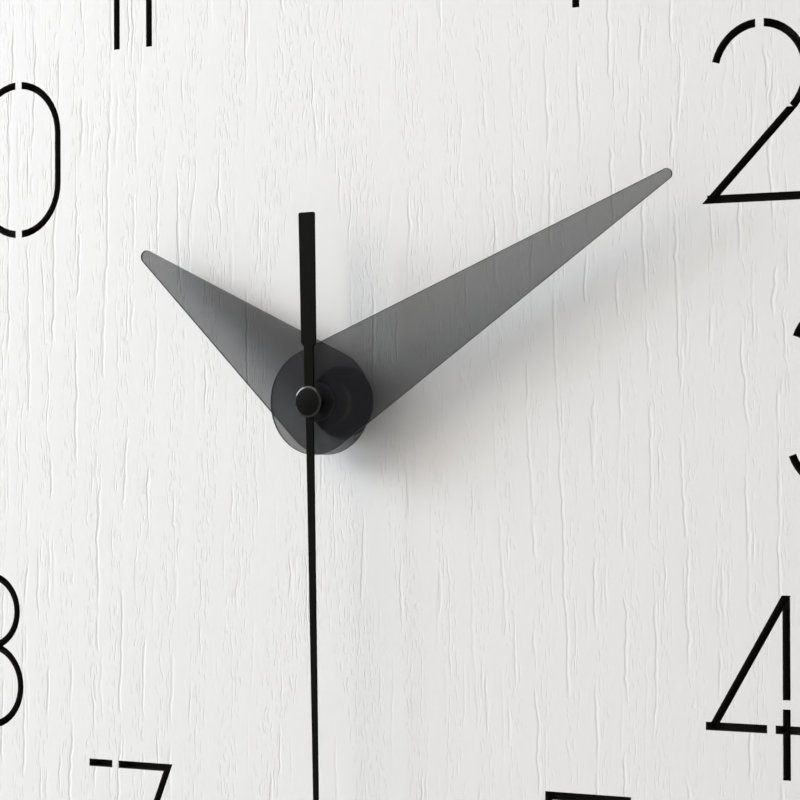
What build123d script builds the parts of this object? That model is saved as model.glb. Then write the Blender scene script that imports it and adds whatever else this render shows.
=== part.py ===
from build123d import *

import os
from math import acos, atan2, cos, degrees, hypot, radians, sin, tan

# Round wall clock: a white wooden dial with stencil numerals cut through it, two smoked
# hands, a black second hand, and a battery movement with its whole gear train.
#
# The dial faces -Y with +X to its right and +Z up. The wall is the plane Y = 0 and the
# hands turn about the Y axis. A depth is a distance in front of the wall.

# Dial panel and its numerals
dial_diameter = 300.0
panel_thickness = 4.0
panel_edge_round = 1.0
numeral_ring_radius = 110.0
numeral_height = 35.0
numeral_half_width = 12.0
numeral_stroke = 1.6
stencil_gap = 1.75
one_stem_offset = 0.4
one_flag = 4.0
ones_pitch = 8.8
pair_pitch = 17.0
bow_radius = 9.6
waist_lift = 1.0
four_stem_offset = 5.0
four_bar_height = 9.5
five_bar_left = 7.2
seven_lean = 0.412
seven_corner = 10.6
seven_gap_offset = 4.8
six_top_offset = 5.5

# Backing board, frame ring and wall pads
board_thickness = 3.0
board_ledge = 4.0
board_fit = 0.3
frame_overhang = 4.0
frame_wall = 12.0
frame_depth = 23.5
frame_edge_round = 1.5
pad_thickness = 1.5
pad_diameter = 9.0
pad_count = 3

# Hanger block with its keyhole plate
hanger_width = 62.0
hanger_rim = 3.0
glue_line = 0.1
plate_length = 44.0
plate_rim = 2.5
plate_thickness = 1.2
plate_fit = 0.2
keyhole_entry_radius = 4.5
keyhole_slot_width = 4.6
keyhole_travel = 8.0
keyhole_pocket_depth = 9.0
keyhole_pocket_margin = 1.0
plate_screw_spacing = 33.0
screw_shank_radius = 1.2
screw_length = 12.0
screw_fit = 0.05
head_taper = 45.0
recess_span = 2.8
recess_width = 0.7
recess_depth = 0.8

# Hands, measured from the dial face
hand_thickness = 0.6
hand_hub_radius = 10.9
hour_hand_height = 6.2
hour_hand_length = 55.8
hour_tip_radius = 1.4
hour_hand_angle = 304.4
minute_hand_height = 10.2
minute_hand_length = 91.3
minute_tip_radius = 1.1
minute_hand_angle = 62.1
bush_wall = 1.3
bush_flange_width = 1.2
bush_flange_thickness = 0.5
bush_length = 1.4
second_hand_height = 12.2
second_hand_thickness = 0.5
second_hand_angle = 179.1
needle_length = 98.0
needle_root_width = 1.9
needle_tip_width = 1.1
neck_width = 2.3
tail_start = 12.0
tail_end = 38.8
tail_root_width = 3.6
tail_end_width = 3.9
tail_chamfer = 0.7
tail_corner = 0.4
cap_radius = 3.3
cap_height = 0.6
cap_round = 0.4
collet_radius = 1.3
collet_length = 0.7

# Hand shafts and their fits
second_shaft_radius = 0.5
minute_tube_radius = 1.6
hour_tube_radius = 2.5
running_fit = 0.05
press_gap = 0.02
tube_proud = 0.4

# Movement case
case_depth = 15.5
case_corner = 3.0
shell = 1.2
train_room = 1.1
bay_end_wall = 1.4
partition = 1.1
cover_lip = 1.0
cover_fit = 0.1
snap_width = 6.0
snap_thickness = 1.0
snap_reach = 5.0
snap_hook = 0.7
snap_window_fit = 0.3
bushing_radius = 4.0
bushing_flange_radius = 6.0
bushing_flange_thickness = 0.6
bushing_proud = 0.4
rubber_washer_thickness = 1.0
rubber_washer_radius = 10.0
nut_washer_thickness = 0.6
nut_washer_radius = 7.5
nut_across_flats = 11.0
nut_thickness = 2.4
hole_fit = 0.2

# Cell, lying along X in the bay at the foot of the case
cell_diameter = 14.2
cell_length = 50.5
cell_nub_diameter = 5.2
cell_nub_length = 1.3
cell_seat_gap = 0.25
cell_edge_round = 0.6
cell_touch_gap = 0.05
leaf_room = 2.3
contact_thickness = 0.4
contact_width = 8.0
contact_height = 9.0
contact_tail_offset = 2.2
contact_tail_width = 3.0
contact_tail_length = 4.0
slot_fit = 0.2
finger_notch_width = 16.0
finger_notch_depth = 4.0

# Gear train: teeth on each wheel and pinion, modules and layers
rotor_leaves = 6
intermediate_teeth = 30
intermediate_leaves = 6
seconds_teeth = 36
seconds_leaves = 8
third_teeth = 64
third_leaves = 8
centre_teeth = 60
cannon_leaves = 12
motion_teeth = 36
motion_leaves = 10
hour_teeth = 40
setting_leaves = 12
fast_module = 0.4
third_module = 0.3
motion_module = 0.4
intermediate_direction = 80.0
rotor_direction = 95.0
third_direction = 180.0
motion_direction = 0.0
setting_direction = 40.0
wheel_thickness = 0.9
layer_gap = 0.4
leaf_overlap = 0.15
arbor_radius = 0.7
pivot_radius = 0.4
pivot_length = 1.5
boss_wall = 0.9
motion_post_radius = 0.8
seconds_hub_radius = 1.0
seconds_pivot_length = 3.0
bridge_thickness = 1.0
bridge_margin = 0.3
bridge_top = 19.6
bridge_clear_hole = 2.0
pillar_radius = 1.7
pillar_inset = 4.0
pillar_spacing = 15.5
bridge_screw_radius = 0.7
bridge_screw_head = 1.5
bridge_screw_head_height = 0.9
bridge_screw_length = 5.0
end_shake = 0.2

# Stepping motor
magnet_radius = 2.7
magnet_length = 2.4
stator_thickness = 1.0
stator_hole_radius = 3.3
stator_web = 1.4
stator_bar_height = 5.6
stator_leg_width = 4.5
stator_span = 35.0
stator_notch = 0.8
coil_room = 0.25
core_width = 2.4
core_thickness = 1.0
bobbin_tube_radius = 1.9
bobbin_flange_radius = 3.1
bobbin_flange_thickness = 0.8
bobbin_length = 23.0
winding_radius = 2.9

# Circuit board and setting knob
pcb_width = 19.0
pcb_height = 12.5
pcb_thickness = 1.0
pcb_standoff = 1.0
pcb_post_radius = 1.2
pcb_side_gap = 0.8
chip_radius = 2.6
chip_height = 1.1
quartz_radius = 1.0
quartz_length = 6.0
setting_stem_radius = 1.7
setting_pivot_radius = 0.9
knob_radius = 5.2
knob_height = 2.6
knob_gap = 0.4
knob_serrations = 20
knob_serration_depth = 0.5

# Depths worked out from the sizes above
panel_radius = dial_diameter / 2
frame_back = pad_thickness
panel_back = frame_back + frame_depth
dial_depth = panel_back + panel_thickness
board_back = panel_back - board_thickness
case_front = board_back - rubber_washer_thickness
case_back = case_front - case_depth
chamber_front = case_front - shell
cover_front = case_back + shell
bushing_top = dial_depth + nut_washer_thickness + nut_thickness + bushing_proud
second_shaft_tip = dial_depth + second_hand_height + second_hand_thickness

# Radii worked out from the sizes above
frame_radius = panel_radius - frame_overhang
frame_inner_radius = frame_radius - frame_wall
board_radius = frame_inner_radius + board_ledge
bushing_hole_radius = bushing_radius + hole_fit
half_height = numeral_height / 2
half_stroke = numeral_stroke / 2

# Layers of the train, from the dial side to the back
layer_pitch = wheel_thickness + layer_gap
hour_layer = chamber_front - layer_gap - wheel_thickness
motion_layer = hour_layer - layer_pitch
centre_layer = motion_layer - layer_pitch
third_layer = centre_layer - layer_pitch
bridge_back = third_layer - layer_gap - bridge_thickness
seconds_layer = bridge_back - layer_gap - wheel_thickness
intermediate_layer = seconds_layer - layer_pitch
bridge_front = bridge_back + bridge_thickness
stator_back = third_layer + layer_gap


def along(origin, distance, direction):
    """Point at a distance from an origin, in a direction given in degrees."""
    angle = radians(direction)
    return (origin[0] + distance * cos(angle), origin[1] + distance * sin(angle))


def centre_distance(module, teeth, leaves):
    """Distance between the axes of a wheel and the pinion that it meshes with."""
    return module * (teeth + leaves) / 2


# Axes of the train on the dial plane, as (x, z)
hand_axis = (0.0, 0.0)
third_distance = centre_distance(third_module, third_teeth, seconds_leaves)
centre_module = 2 * third_distance / (centre_teeth + third_leaves)
motion_distance = centre_distance(motion_module, motion_teeth, cannon_leaves)
hour_module = 2 * motion_distance / (hour_teeth + motion_leaves)
intermediate_axis = along(
    hand_axis, centre_distance(fast_module, seconds_teeth, intermediate_leaves), intermediate_direction
)
rotor_axis = along(
    intermediate_axis, centre_distance(fast_module, intermediate_teeth, rotor_leaves), rotor_direction
)
third_axis = along(hand_axis, third_distance, third_direction)
motion_axis = along(hand_axis, motion_distance, motion_direction)
setting_axis = along(
    motion_axis, centre_distance(motion_module, motion_teeth, setting_leaves), setting_direction
)

# Case outline on the dial plane, around the cell, the train and the coil
bay_half_length = (contact_thickness + cell_length + leaf_room) / 2
case_half_width = bay_half_length + bay_end_wall
case_width = 2 * case_half_width
chamber_half_width = case_half_width - shell
bay_height = cell_diameter + 2 * cell_seat_gap
third_tip_radius = third_module * (third_teeth + 2) / 2
chamber_bottom = third_axis[1] - third_tip_radius - train_room
bay_top = chamber_bottom - partition
bay_bottom = bay_top - bay_height
case_bottom = bay_bottom - shell
coil_height = rotor_axis[1] + stator_hole_radius + stator_web + coil_room + bobbin_flange_radius
chamber_top = coil_height + bobbin_flange_radius + coil_room
case_top = chamber_top + shell
case_height = case_top - case_bottom
case_middle = (case_top + case_bottom) / 2
cell_axis_height = bay_bottom + bay_height / 2
cell_axis_depth = chamber_front - cell_seat_gap - cell_diameter / 2
cell_start = contact_thickness - bay_half_length
cell_end = cell_start + cell_length
pillar_places = [
    (side * (chamber_half_width - pillar_inset), chamber_bottom + pillar_inset + row * pillar_spacing)
    for side in (-1, 1)
    for row in (0, 1)
]
stator_leg_places = [(side * (stator_span - stator_leg_width) / 2, coil_height) for side in (-1, 1)]
core_back = stator_back + stator_thickness
coil_depth = core_back + core_thickness / 2
pcb_left = pcb_side_gap - chamber_half_width + snap_thickness + cover_lip
pcb_place = (pcb_left + pcb_width / 2, chamber_top - cover_lip - pcb_side_gap - pcb_height / 2)
pcb_back = cover_front + pcb_standoff
pcb_front = pcb_back + pcb_thickness
knob_front = case_back - knob_gap
frame_middle_radius = frame_radius - frame_wall / 2
plate_width = keyhole_travel + 2 * (keyhole_entry_radius + plate_rim)
hanger_height = plate_width + 2 * hanger_rim
hanger_top = frame_inner_radius - glue_line
hanger_middle = hanger_top - hanger_height / 2
plate_front = frame_back + plate_thickness
keyhole_entry_height = hanger_middle - keyhole_travel / 2
plate_screw_places = [(side * plate_screw_spacing / 2, hanger_middle) for side in (-1, 1)]

# Tooth forms: addendum and dedendum in modules, then the share of the pitch that the
# tooth fills at its root and at its tip
wheel_teeth = (0.85, 1.1, 0.66, 0.20)
pinion_leaves = (0.75, 1.1, 0.52, 0.14)


def layer(depth):
    """Plane parallel to the dial, facing the viewer, at a depth in front of the wall."""
    return Plane.XZ.offset(depth)


def hand_plane(depth, clock_angle):
    """Dial plane turned so that its Y points at a clock angle, clockwise from twelve."""
    angle = radians(clock_angle)
    return Plane(origin=(0, -depth, 0), x_dir=(cos(angle), 0, -sin(angle)), z_dir=(0, -1, 0))


def post(place, radius, start, end, mode=Mode.ADD):
    """Round post, or hole, along the hand axis from one depth to another."""
    with BuildSketch(layer(start)) as section:
        with Locations(place):
            Circle(radius)
    extrude(section.sketch, amount=end - start, mode=mode)


def gear_points(place, teeth, module, phase, form):
    """Corners of a gear outline with straight flanks, one tooth centred on the phase."""
    addendum, dedendum, root_share, tip_share = form
    pitch_radius = module * teeth / 2
    root_radius = pitch_radius - dedendum * module
    tip_radius = pitch_radius + addendum * module
    half_pitch = 180 / teeth
    corners = []
    for tooth in range(teeth):
        middle = phase + 2 * half_pitch * tooth
        corners.append(along(place, root_radius, middle - root_share * half_pitch))
        corners.append(along(place, tip_radius, middle - tip_share * half_pitch))
        corners.append(along(place, tip_radius, middle + tip_share * half_pitch))
        corners.append(along(place, root_radius, middle + root_share * half_pitch))
    return corners


def gear(place, teeth, module, phase, form, start, end):
    """Toothed wheel or pinion between two depths."""
    with BuildSketch(layer(start)) as section:
        with BuildLine():
            Polyline(gear_points(place, teeth, module, phase, form), close=True)
        make_face()
    extrude(section.sketch, amount=end - start)


def meshed_phase(phase, teeth, other_teeth, direction):
    """Phase of a gear that meshes with another one, which lies behind it in a direction."""
    off_centre = direction - phase
    return direction + 180 + 180 / other_teeth + off_centre * teeth / other_teeth


# Phases that put every pair of the train in mesh
cannon_phase = 0.0
motion_phase = meshed_phase(cannon_phase, cannon_leaves, motion_teeth, motion_direction)
motion_leaf_phase = motion_direction
hour_phase = meshed_phase(motion_leaf_phase, motion_leaves, hour_teeth, motion_direction + 180)
setting_phase = meshed_phase(motion_phase, motion_teeth, setting_leaves, setting_direction)
seconds_leaf_phase = 0.0
third_phase = meshed_phase(seconds_leaf_phase, seconds_leaves, third_teeth, third_direction)
third_leaf_phase = 0.0
centre_phase = meshed_phase(third_leaf_phase, third_leaves, centre_teeth, third_direction + 180)
seconds_phase = 0.0
intermediate_leaf_phase = meshed_phase(
    seconds_phase, seconds_teeth, intermediate_leaves, intermediate_direction
)
intermediate_phase = 0.0
rotor_phase = meshed_phase(intermediate_phase, intermediate_teeth, rotor_leaves, rotor_direction)


def bar(start, end):
    """Straight numeral stroke with square ends, along its centre line."""
    run = (end[0] - start[0], end[1] - start[1])
    middle = ((start[0] + end[0]) / 2, (start[1] + end[1]) / 2)
    with Locations(middle):
        Rectangle(hypot(*run), numeral_stroke, rotation=degrees(atan2(run[1], run[0])))


def slant(top, foot):
    """Leaning numeral stroke with level ends, along its centre line."""
    rise = top[1] - foot[1]
    half = half_stroke * hypot(top[0] - foot[0], rise) / rise
    Polygon(
        (top[0] - half, top[1]),
        (top[0] + half, top[1]),
        (foot[0] + half, foot[1]),
        (foot[0] - half, foot[1]),
        align=None,
    )


def bow(centre, radius, start, sweep):
    """Round numeral stroke, along an arc from a start angle in degrees."""
    with BuildLine() as outline:
        outer = CenterArc(centre, radius + half_stroke, start, sweep)
        inner = CenterArc(centre, radius - half_stroke, start, sweep)
        Line(outer @ 0, inner @ 0)
        Line(outer @ 1, inner @ 1)
    make_face(outline.edges())


def ring(centre, radius):
    """Closed round numeral stroke."""
    with Locations(centre):
        Circle(radius + half_stroke)
        Circle(radius - half_stroke, mode=Mode.SUBTRACT)


def bridge_gap(place, rotation=0):
    """Bridge of wood left standing across a stroke, so that the numeral stays a stencil."""
    with Locations(place):
        Rectangle(stencil_gap, 3 * numeral_stroke, rotation=rotation, mode=Mode.SUBTRACT)


def tangent_angle(centre, radius, point, side):
    """Angle at which a line from a point touches a circle, on its left (1) or right (-1)."""
    run = (point[0] - centre[0], point[1] - centre[1])
    return degrees(atan2(run[1], run[0])) + side * degrees(acos(radius / hypot(*run)))


top_line = half_height - half_stroke
side_line = numeral_half_width - half_stroke


def draw_zero():
    shoulder = half_height - numeral_half_width
    bow((0, shoulder), side_line, 0, 180)
    bow((0, -shoulder), side_line, 180, 180)
    for side in (-1, 1):
        bar((side * side_line, -shoulder), (side * side_line, shoulder))
        bridge_gap((0, side * top_line))


def draw_one():
    bar((one_stem_offset, -half_height), (one_stem_offset, half_height))
    stem_left = one_stem_offset - half_stroke
    drop = 2 * half_stroke * 2**0.5
    Polygon(
        (stem_left, half_height),
        (stem_left - one_flag, half_height - one_flag),
        (stem_left - one_flag, half_height - one_flag - drop),
        (stem_left, half_height - drop),
        align=None,
    )


def draw_two():
    centre = (0, top_line - bow_radius)
    foot = (-side_line, -half_height)
    touch = tangent_angle(centre, bow_radius, foot, 1)
    bow(centre, bow_radius, 165, touch - 165)
    slant(along(centre, bow_radius, touch), foot)
    bar((foot[0], -top_line), (numeral_half_width, -top_line))
    bridge_gap((0, top_line))


def draw_three():
    upper = top_line / 2 - waist_lift / 2
    lower = top_line - upper
    bow((0, top_line - upper), upper, 160, -250)
    bow((0, lower - top_line), lower, 90, -250)
    for side in (-1, 1):
        bridge_gap((0, side * top_line))


def draw_four():
    crossbar = four_bar_height - half_height
    bar((four_stem_offset, -half_height), (four_stem_offset, half_height))
    bar((-numeral_half_width, crossbar), (numeral_half_width, crossbar))
    slant((four_stem_offset, half_height), (half_stroke - side_line, crossbar))
    bridge_gap((four_stem_offset - 2 * numeral_stroke, crossbar))
    bridge_gap((four_stem_offset, crossbar + 3 * numeral_stroke), 90)


def draw_five():
    stem = half_stroke - five_bar_left
    centre = (numeral_half_width - half_stroke - bow_radius - half_stroke / 2, bow_radius - top_line)
    start = 180 - degrees(acos((centre[0] - stem) / bow_radius))
    bar((-five_bar_left, top_line), (numeral_half_width, top_line))
    bar((stem, centre[1] + bow_radius * sin(radians(start)) - half_stroke), (stem, half_height))
    bow(centre, bow_radius, start, -start - 150)
    bridge_gap((centre[0], -top_line))


def draw_six():
    centre = (0, bow_radius - top_line)
    tip = (six_top_offset, half_height)
    touch = tangent_angle(centre, bow_radius, tip, 1)
    ring(centre, bow_radius)
    slant(tip, along(centre, bow_radius, touch))
    bridge_gap((0, centre[1] + bow_radius))
    bridge_gap((0, -top_line))


def draw_seven():
    corner = seven_corner - half_stroke
    bar((-numeral_half_width, top_line), (seven_corner - numeral_stroke, top_line))
    slant((corner, half_height), (corner - seven_lean * numeral_height, -half_height))
    bridge_gap((-seven_gap_offset, top_line))


def draw_eight():
    upper = top_line / 2 - waist_lift / 2
    lower = top_line - upper
    ring((0, top_line - upper), upper)
    ring((0, lower - top_line), lower)
    for height in (top_line, top_line - 2 * upper, -top_line):
        bridge_gap((0, height))


def draw_nine():
    centre = (0, top_line - bow_radius)
    tip = (-six_top_offset, -half_height)
    touch = tangent_angle(centre, bow_radius, tip, 1)
    ring(centre, bow_radius)
    slant(along(centre, bow_radius, touch), tip)
    bridge_gap((0, centre[1] - bow_radius))
    bridge_gap((0, top_line))


digit_drawings = [
    draw_zero,
    draw_one,
    draw_two,
    draw_three,
    draw_four,
    draw_five,
    draw_six,
    draw_seven,
    draw_eight,
    draw_nine,
]


def digit_sketch(digit):
    """Outline of one digit, centred on its own origin."""
    with BuildSketch() as strokes:
        digit_drawings[digit]()
    return strokes.sketch


def numeral_sketch(hour):
    """Outline of an hour's numeral, with its digits side by side."""
    digits = [int(mark) for mark in str(hour)]
    pitch = ones_pitch if hour == 11 else pair_pitch
    with BuildSketch() as numeral:
        for index, digit in enumerate(digits):
            with Locations((pitch * (index - (len(digits) - 1) / 2), 0)):
                add(digit_sketch(digit))
    return numeral.sketch


# Dial panel with the twelve numerals cut through
with BuildPart() as front_panel:
    with BuildSketch(layer(panel_back)):
        Circle(panel_radius)
        Circle(bushing_hole_radius, mode=Mode.SUBTRACT)
        for hour in range(1, 13):
            with Locations(along(hand_axis, numeral_ring_radius, 90 - 30 * hour)):
                add(numeral_sketch(hour), mode=Mode.SUBTRACT)
    extrude(amount=panel_thickness)
    rim = front_panel.edges().filter_by(GeomType.CIRCLE).group_by(SortBy.RADIUS)[-1]
    fillet(rim.sort_by(Axis.Y)[0], radius=panel_edge_round)

# Black board behind the numerals, let into the frame ring
with BuildPart() as backing_board:
    with BuildSketch(layer(board_back)):
        Circle(board_radius)
        Circle(bushing_hole_radius, mode=Mode.SUBTRACT)
    extrude(amount=board_thickness)

# Frame ring: a hoop with a rebate that takes the board
with BuildPart() as frame_ring:
    with BuildSketch(layer(frame_back)):
        Circle(frame_radius)
        Circle(frame_inner_radius, mode=Mode.SUBTRACT)
    extrude(amount=frame_depth)
    post(hand_axis, board_radius + board_fit, board_back, panel_back, Mode.SUBTRACT)
    rear_rim = frame_ring.edges().filter_by(GeomType.CIRCLE).group_by(Axis.Y)[-1].sort_by(SortBy.RADIUS)[-1]
    fillet(rear_rim, radius=frame_edge_round)

# Felt pads that hold the frame off the wall
with BuildPart() as wall_pads:
    with BuildSketch(layer(0)):
        with PolarLocations(frame_middle_radius, pad_count, start_angle=-90):
            Circle(pad_diameter / 2)
    extrude(amount=pad_thickness)


def screw_head(place, fit, mode):
    """Countersunk head, or its seat, that tapers to the shank through the keyhole plate."""
    with BuildSketch(layer(frame_back)) as rim:
        with Locations(place):
            Circle(screw_shank_radius + plate_thickness * tan(radians(head_taper)) + fit)
    extrude(rim.sketch, amount=plate_thickness, taper=head_taper, mode=mode)


# Hanger block, glued under the top of the frame ring, with its pocket for a nail head
with BuildPart() as hanger_block:
    with BuildSketch(layer(frame_back)):
        with Locations((0, hanger_middle)):
            Rectangle(hanger_width, hanger_height)
        Circle(hanger_top, mode=Mode.INTERSECT)
    extrude(amount=board_back - frame_back)
    with BuildSketch(layer(frame_back)):
        with Locations((0, hanger_middle)):
            RectangleRounded(plate_length + 2 * plate_fit, plate_width + 2 * plate_fit, plate_width / 4)
    extrude(amount=plate_thickness, mode=Mode.SUBTRACT)
    with BuildSketch(layer(plate_front)):
        with Locations((0, hanger_middle)):
            SlotCenterToCenter(
                keyhole_travel, 2 * (keyhole_entry_radius + keyhole_pocket_margin), rotation=90
            )
    extrude(amount=keyhole_pocket_depth, mode=Mode.SUBTRACT)
    for place in plate_screw_places:
        pilot_end = frame_back + screw_length + screw_fit
        post(place, screw_shank_radius + screw_fit, frame_back, pilot_end, Mode.SUBTRACT)

# Keyhole plate, flush with the back of the block
with BuildPart() as keyhole_plate:
    with BuildSketch(layer(frame_back)):
        with Locations((0, hanger_middle)):
            RectangleRounded(plate_length, plate_width, plate_width / 4)
        with Locations((0, keyhole_entry_height)):
            Circle(keyhole_entry_radius, mode=Mode.SUBTRACT)
        with Locations((0, hanger_middle)):
            SlotCenterToCenter(keyhole_travel, keyhole_slot_width, rotation=90, mode=Mode.SUBTRACT)
    extrude(amount=plate_thickness)
    for place in plate_screw_places:
        post(place, screw_shank_radius + screw_fit, frame_back, plate_front, Mode.SUBTRACT)
        screw_head(place, screw_fit, Mode.SUBTRACT)

# Wood screws of the keyhole plate, with heads let into it
with BuildPart() as plate_screws:
    for place in plate_screw_places:
        post(place, screw_shank_radius, frame_back, frame_back + screw_length)
        screw_head(place, 0, Mode.ADD)
    with BuildSketch(layer(frame_back)):
        for place in plate_screw_places:
            with Locations(place):
                Rectangle(recess_span, recess_width)
                Rectangle(recess_width, recess_span)
    extrude(amount=recess_depth, mode=Mode.SUBTRACT)

# Smoked hour hand: a thin teardrop with a hole for its tube
def teardrop(length, tip_radius, hole_radius):
    """Hand outline: hub and tip circles joined by their tangents, pointing along Y."""
    with BuildSketch() as outline:
        Circle(hand_hub_radius)
        with Locations((0, length)):
            Circle(tip_radius)
        make_hull()
        Circle(hole_radius, mode=Mode.SUBTRACT)
    return outline.sketch


hour_bush_radius = hour_tube_radius + bush_wall
minute_bush_radius = minute_tube_radius + bush_wall
hour_hand_back = dial_depth + hour_hand_height
minute_hand_back = dial_depth + minute_hand_height
second_hand_back = dial_depth + second_hand_height

with BuildPart() as hour_hand:
    with BuildSketch(hand_plane(hour_hand_back, hour_hand_angle)):
        add(teardrop(hour_hand_length, hour_tip_radius, hour_tube_radius + press_gap))
    extrude(amount=hand_thickness)

# Smoked minute hand
with BuildPart() as minute_hand:
    with BuildSketch(hand_plane(minute_hand_back, minute_hand_angle)):
        add(teardrop(minute_hand_length, minute_tip_radius, minute_tube_radius + press_gap))
    extrude(amount=hand_thickness)


def hand_bush(radius, tube_radius, hand_back):
    """Flanged bush behind a hand, which carries it on its tube."""
    bush_back = hand_back - bush_length
    post(hand_axis, radius, bush_back, hand_back)
    post(hand_axis, radius + bush_flange_width, hand_back - bush_flange_thickness, hand_back)
    post(hand_axis, tube_radius + press_gap, bush_back, hand_back, Mode.SUBTRACT)


with BuildPart() as hour_hand_bush:
    hand_bush(hour_bush_radius, hour_tube_radius, hour_hand_back)

with BuildPart() as minute_hand_bush:
    hand_bush(minute_bush_radius, minute_tube_radius, minute_hand_back)

# Second hand: needle, neck and broad tail cut from one strip
with BuildPart() as second_hand:
    with BuildSketch(hand_plane(second_hand_back, second_hand_angle)) as strip:
        with BuildLine():
            Polyline(
                (0, needle_length),
                (needle_tip_width / 2, needle_length),
                (needle_root_width / 2, 0),
                (neck_width / 2, 0),
                (neck_width / 2, tail_chamfer - tail_start),
                (tail_root_width / 2, -tail_start),
                (tail_end_width / 2, -tail_end),
                (0, -tail_end),
            )
            mirror(about=Plane.YZ)
        make_face()
        fillet(strip.vertices().sort_by(Axis.Y)[:2], radius=tail_corner)
        Circle(collet_radius + neck_width / 2)
        Circle(second_shaft_radius + press_gap, mode=Mode.SUBTRACT)
    extrude(amount=second_hand_thickness)

# Cap and collet that hold the second hand on its shaft
with BuildPart() as second_hand_cap:
    cap_back = second_hand_back + second_hand_thickness
    post(hand_axis, cap_radius, cap_back, cap_back + cap_height)
    fillet(second_hand_cap.faces().sort_by(Axis.Y)[0].edges(), radius=cap_round)

with BuildPart() as second_hand_collet:
    collet_back = second_hand_back - collet_length
    post(hand_axis, collet_radius, collet_back, second_hand_back)
    post(hand_axis, second_shaft_radius + press_gap, collet_back, second_hand_back, Mode.SUBTRACT)

# Movement case: gear chamber above, cell bay below, both open at the back
chamber_height = chamber_top - chamber_bottom
cover_height = case_top - bay_top
snap_height = chamber_bottom + chamber_height / 2
snap_hook_back = cover_front + snap_reach - 2 * snap_hook
third_boss_start = centre_layer + wheel_thickness + leaf_overlap + end_shake
rotor_boss_start = core_back + core_thickness + end_shake
setting_boss_start = motion_layer + wheel_thickness + leaf_overlap + end_shake
tail_depth = cell_axis_depth - contact_tail_offset
slot_rise = partition + case_corner


def bearing_boss(place, radius, start, end, depth):
    """Boss between two depths, with a blind running hole for a pivot in its free end."""
    rim, hole_end = (start, start + depth) if end == chamber_front else (end - depth, end)
    post(place, radius + running_fit + boss_wall, start, end)
    post(place, radius + running_fit, rim, hole_end, Mode.SUBTRACT)


with BuildPart() as movement_case:
    with BuildSketch(layer(case_back)):
        with Locations((0, case_middle)):
            RectangleRounded(case_width, case_height, case_corner)
    extrude(amount=case_depth)
    with BuildSketch(layer(case_back)):
        with Locations((0, snap_height)):
            RectangleRounded(2 * chamber_half_width, chamber_height, case_corner - shell)
        with Locations((0, cell_axis_height)):
            Rectangle(2 * bay_half_length, bay_height)
    extrude(amount=case_depth - shell, mode=Mode.SUBTRACT)
    with BuildSketch(layer(case_back)):
        with Locations((0, bay_top + cover_height / 2)):
            Rectangle(case_width, cover_height)
    extrude(amount=shell, mode=Mode.SUBTRACT)
    with BuildSketch(layer(case_back)):
        with Locations((0, case_bottom)):
            Rectangle(finger_notch_width, 2 * shell)
    extrude(amount=finger_notch_depth, mode=Mode.SUBTRACT)
    with BuildSketch(layer(tail_depth - contact_tail_width / 2 - slot_fit)):
        for side in (-1, 1):
            with Locations((side * (bay_half_length - contact_thickness / 2), bay_top + slot_rise / 2)):
                Rectangle(contact_thickness + 2 * slot_fit, slot_rise)
    extrude(amount=contact_tail_width + 2 * slot_fit, mode=Mode.SUBTRACT)
    with BuildSketch(layer(snap_hook_back - snap_window_fit)):
        for side in (-1, 1):
            with Locations((side * (case_half_width - shell / 2), snap_height)):
                Rectangle(shell, snap_width + 2 * snap_window_fit)
    extrude(amount=2 * (snap_hook + snap_window_fit), mode=Mode.SUBTRACT)
    for place in pillar_places:
        screw_hole = bridge_front + bridge_screw_length
        post(place, pillar_radius, bridge_front, chamber_front)
        post(place, bridge_screw_radius + screw_fit, bridge_front, screw_hole, Mode.SUBTRACT)
    for place in stator_leg_places:
        post(place, pillar_radius, core_back + core_thickness, chamber_front)
    post(motion_axis, motion_post_radius, motion_layer - leaf_overlap, chamber_front)
    bearing_boss(third_axis, pivot_radius, third_boss_start, chamber_front, pivot_length)
    bearing_boss(rotor_axis, pivot_radius, rotor_boss_start, chamber_front, pivot_length)
    bearing_boss(setting_axis, setting_pivot_radius, setting_boss_start, chamber_front, pivot_length)
    flange_seat = case_front - bushing_flange_thickness
    post(hand_axis, bushing_radius + press_gap, chamber_front, case_front, Mode.SUBTRACT)
    post(hand_axis, bushing_flange_radius + press_gap, flange_seat, case_front, Mode.SUBTRACT)

# Back cover of the gear chamber, with its lip, snap tongues and bearing bosses
seconds_boss_end = seconds_layer - leaf_overlap - end_shake
intermediate_boss_end = intermediate_layer - leaf_overlap - end_shake
lip_width = 2 * (chamber_half_width - cover_fit)
lip_height = chamber_height - 2 * cover_fit
pcb_post_x = pcb_width / 2 - pcb_post_radius
pcb_post_z = pcb_height / 2 - pcb_post_radius
pcb_post_places = [
    (pcb_place[0] + side * pcb_post_x, pcb_place[1] + up * pcb_post_z)
    for side in (-1, 1)
    for up in (-1, 1)
]

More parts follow.
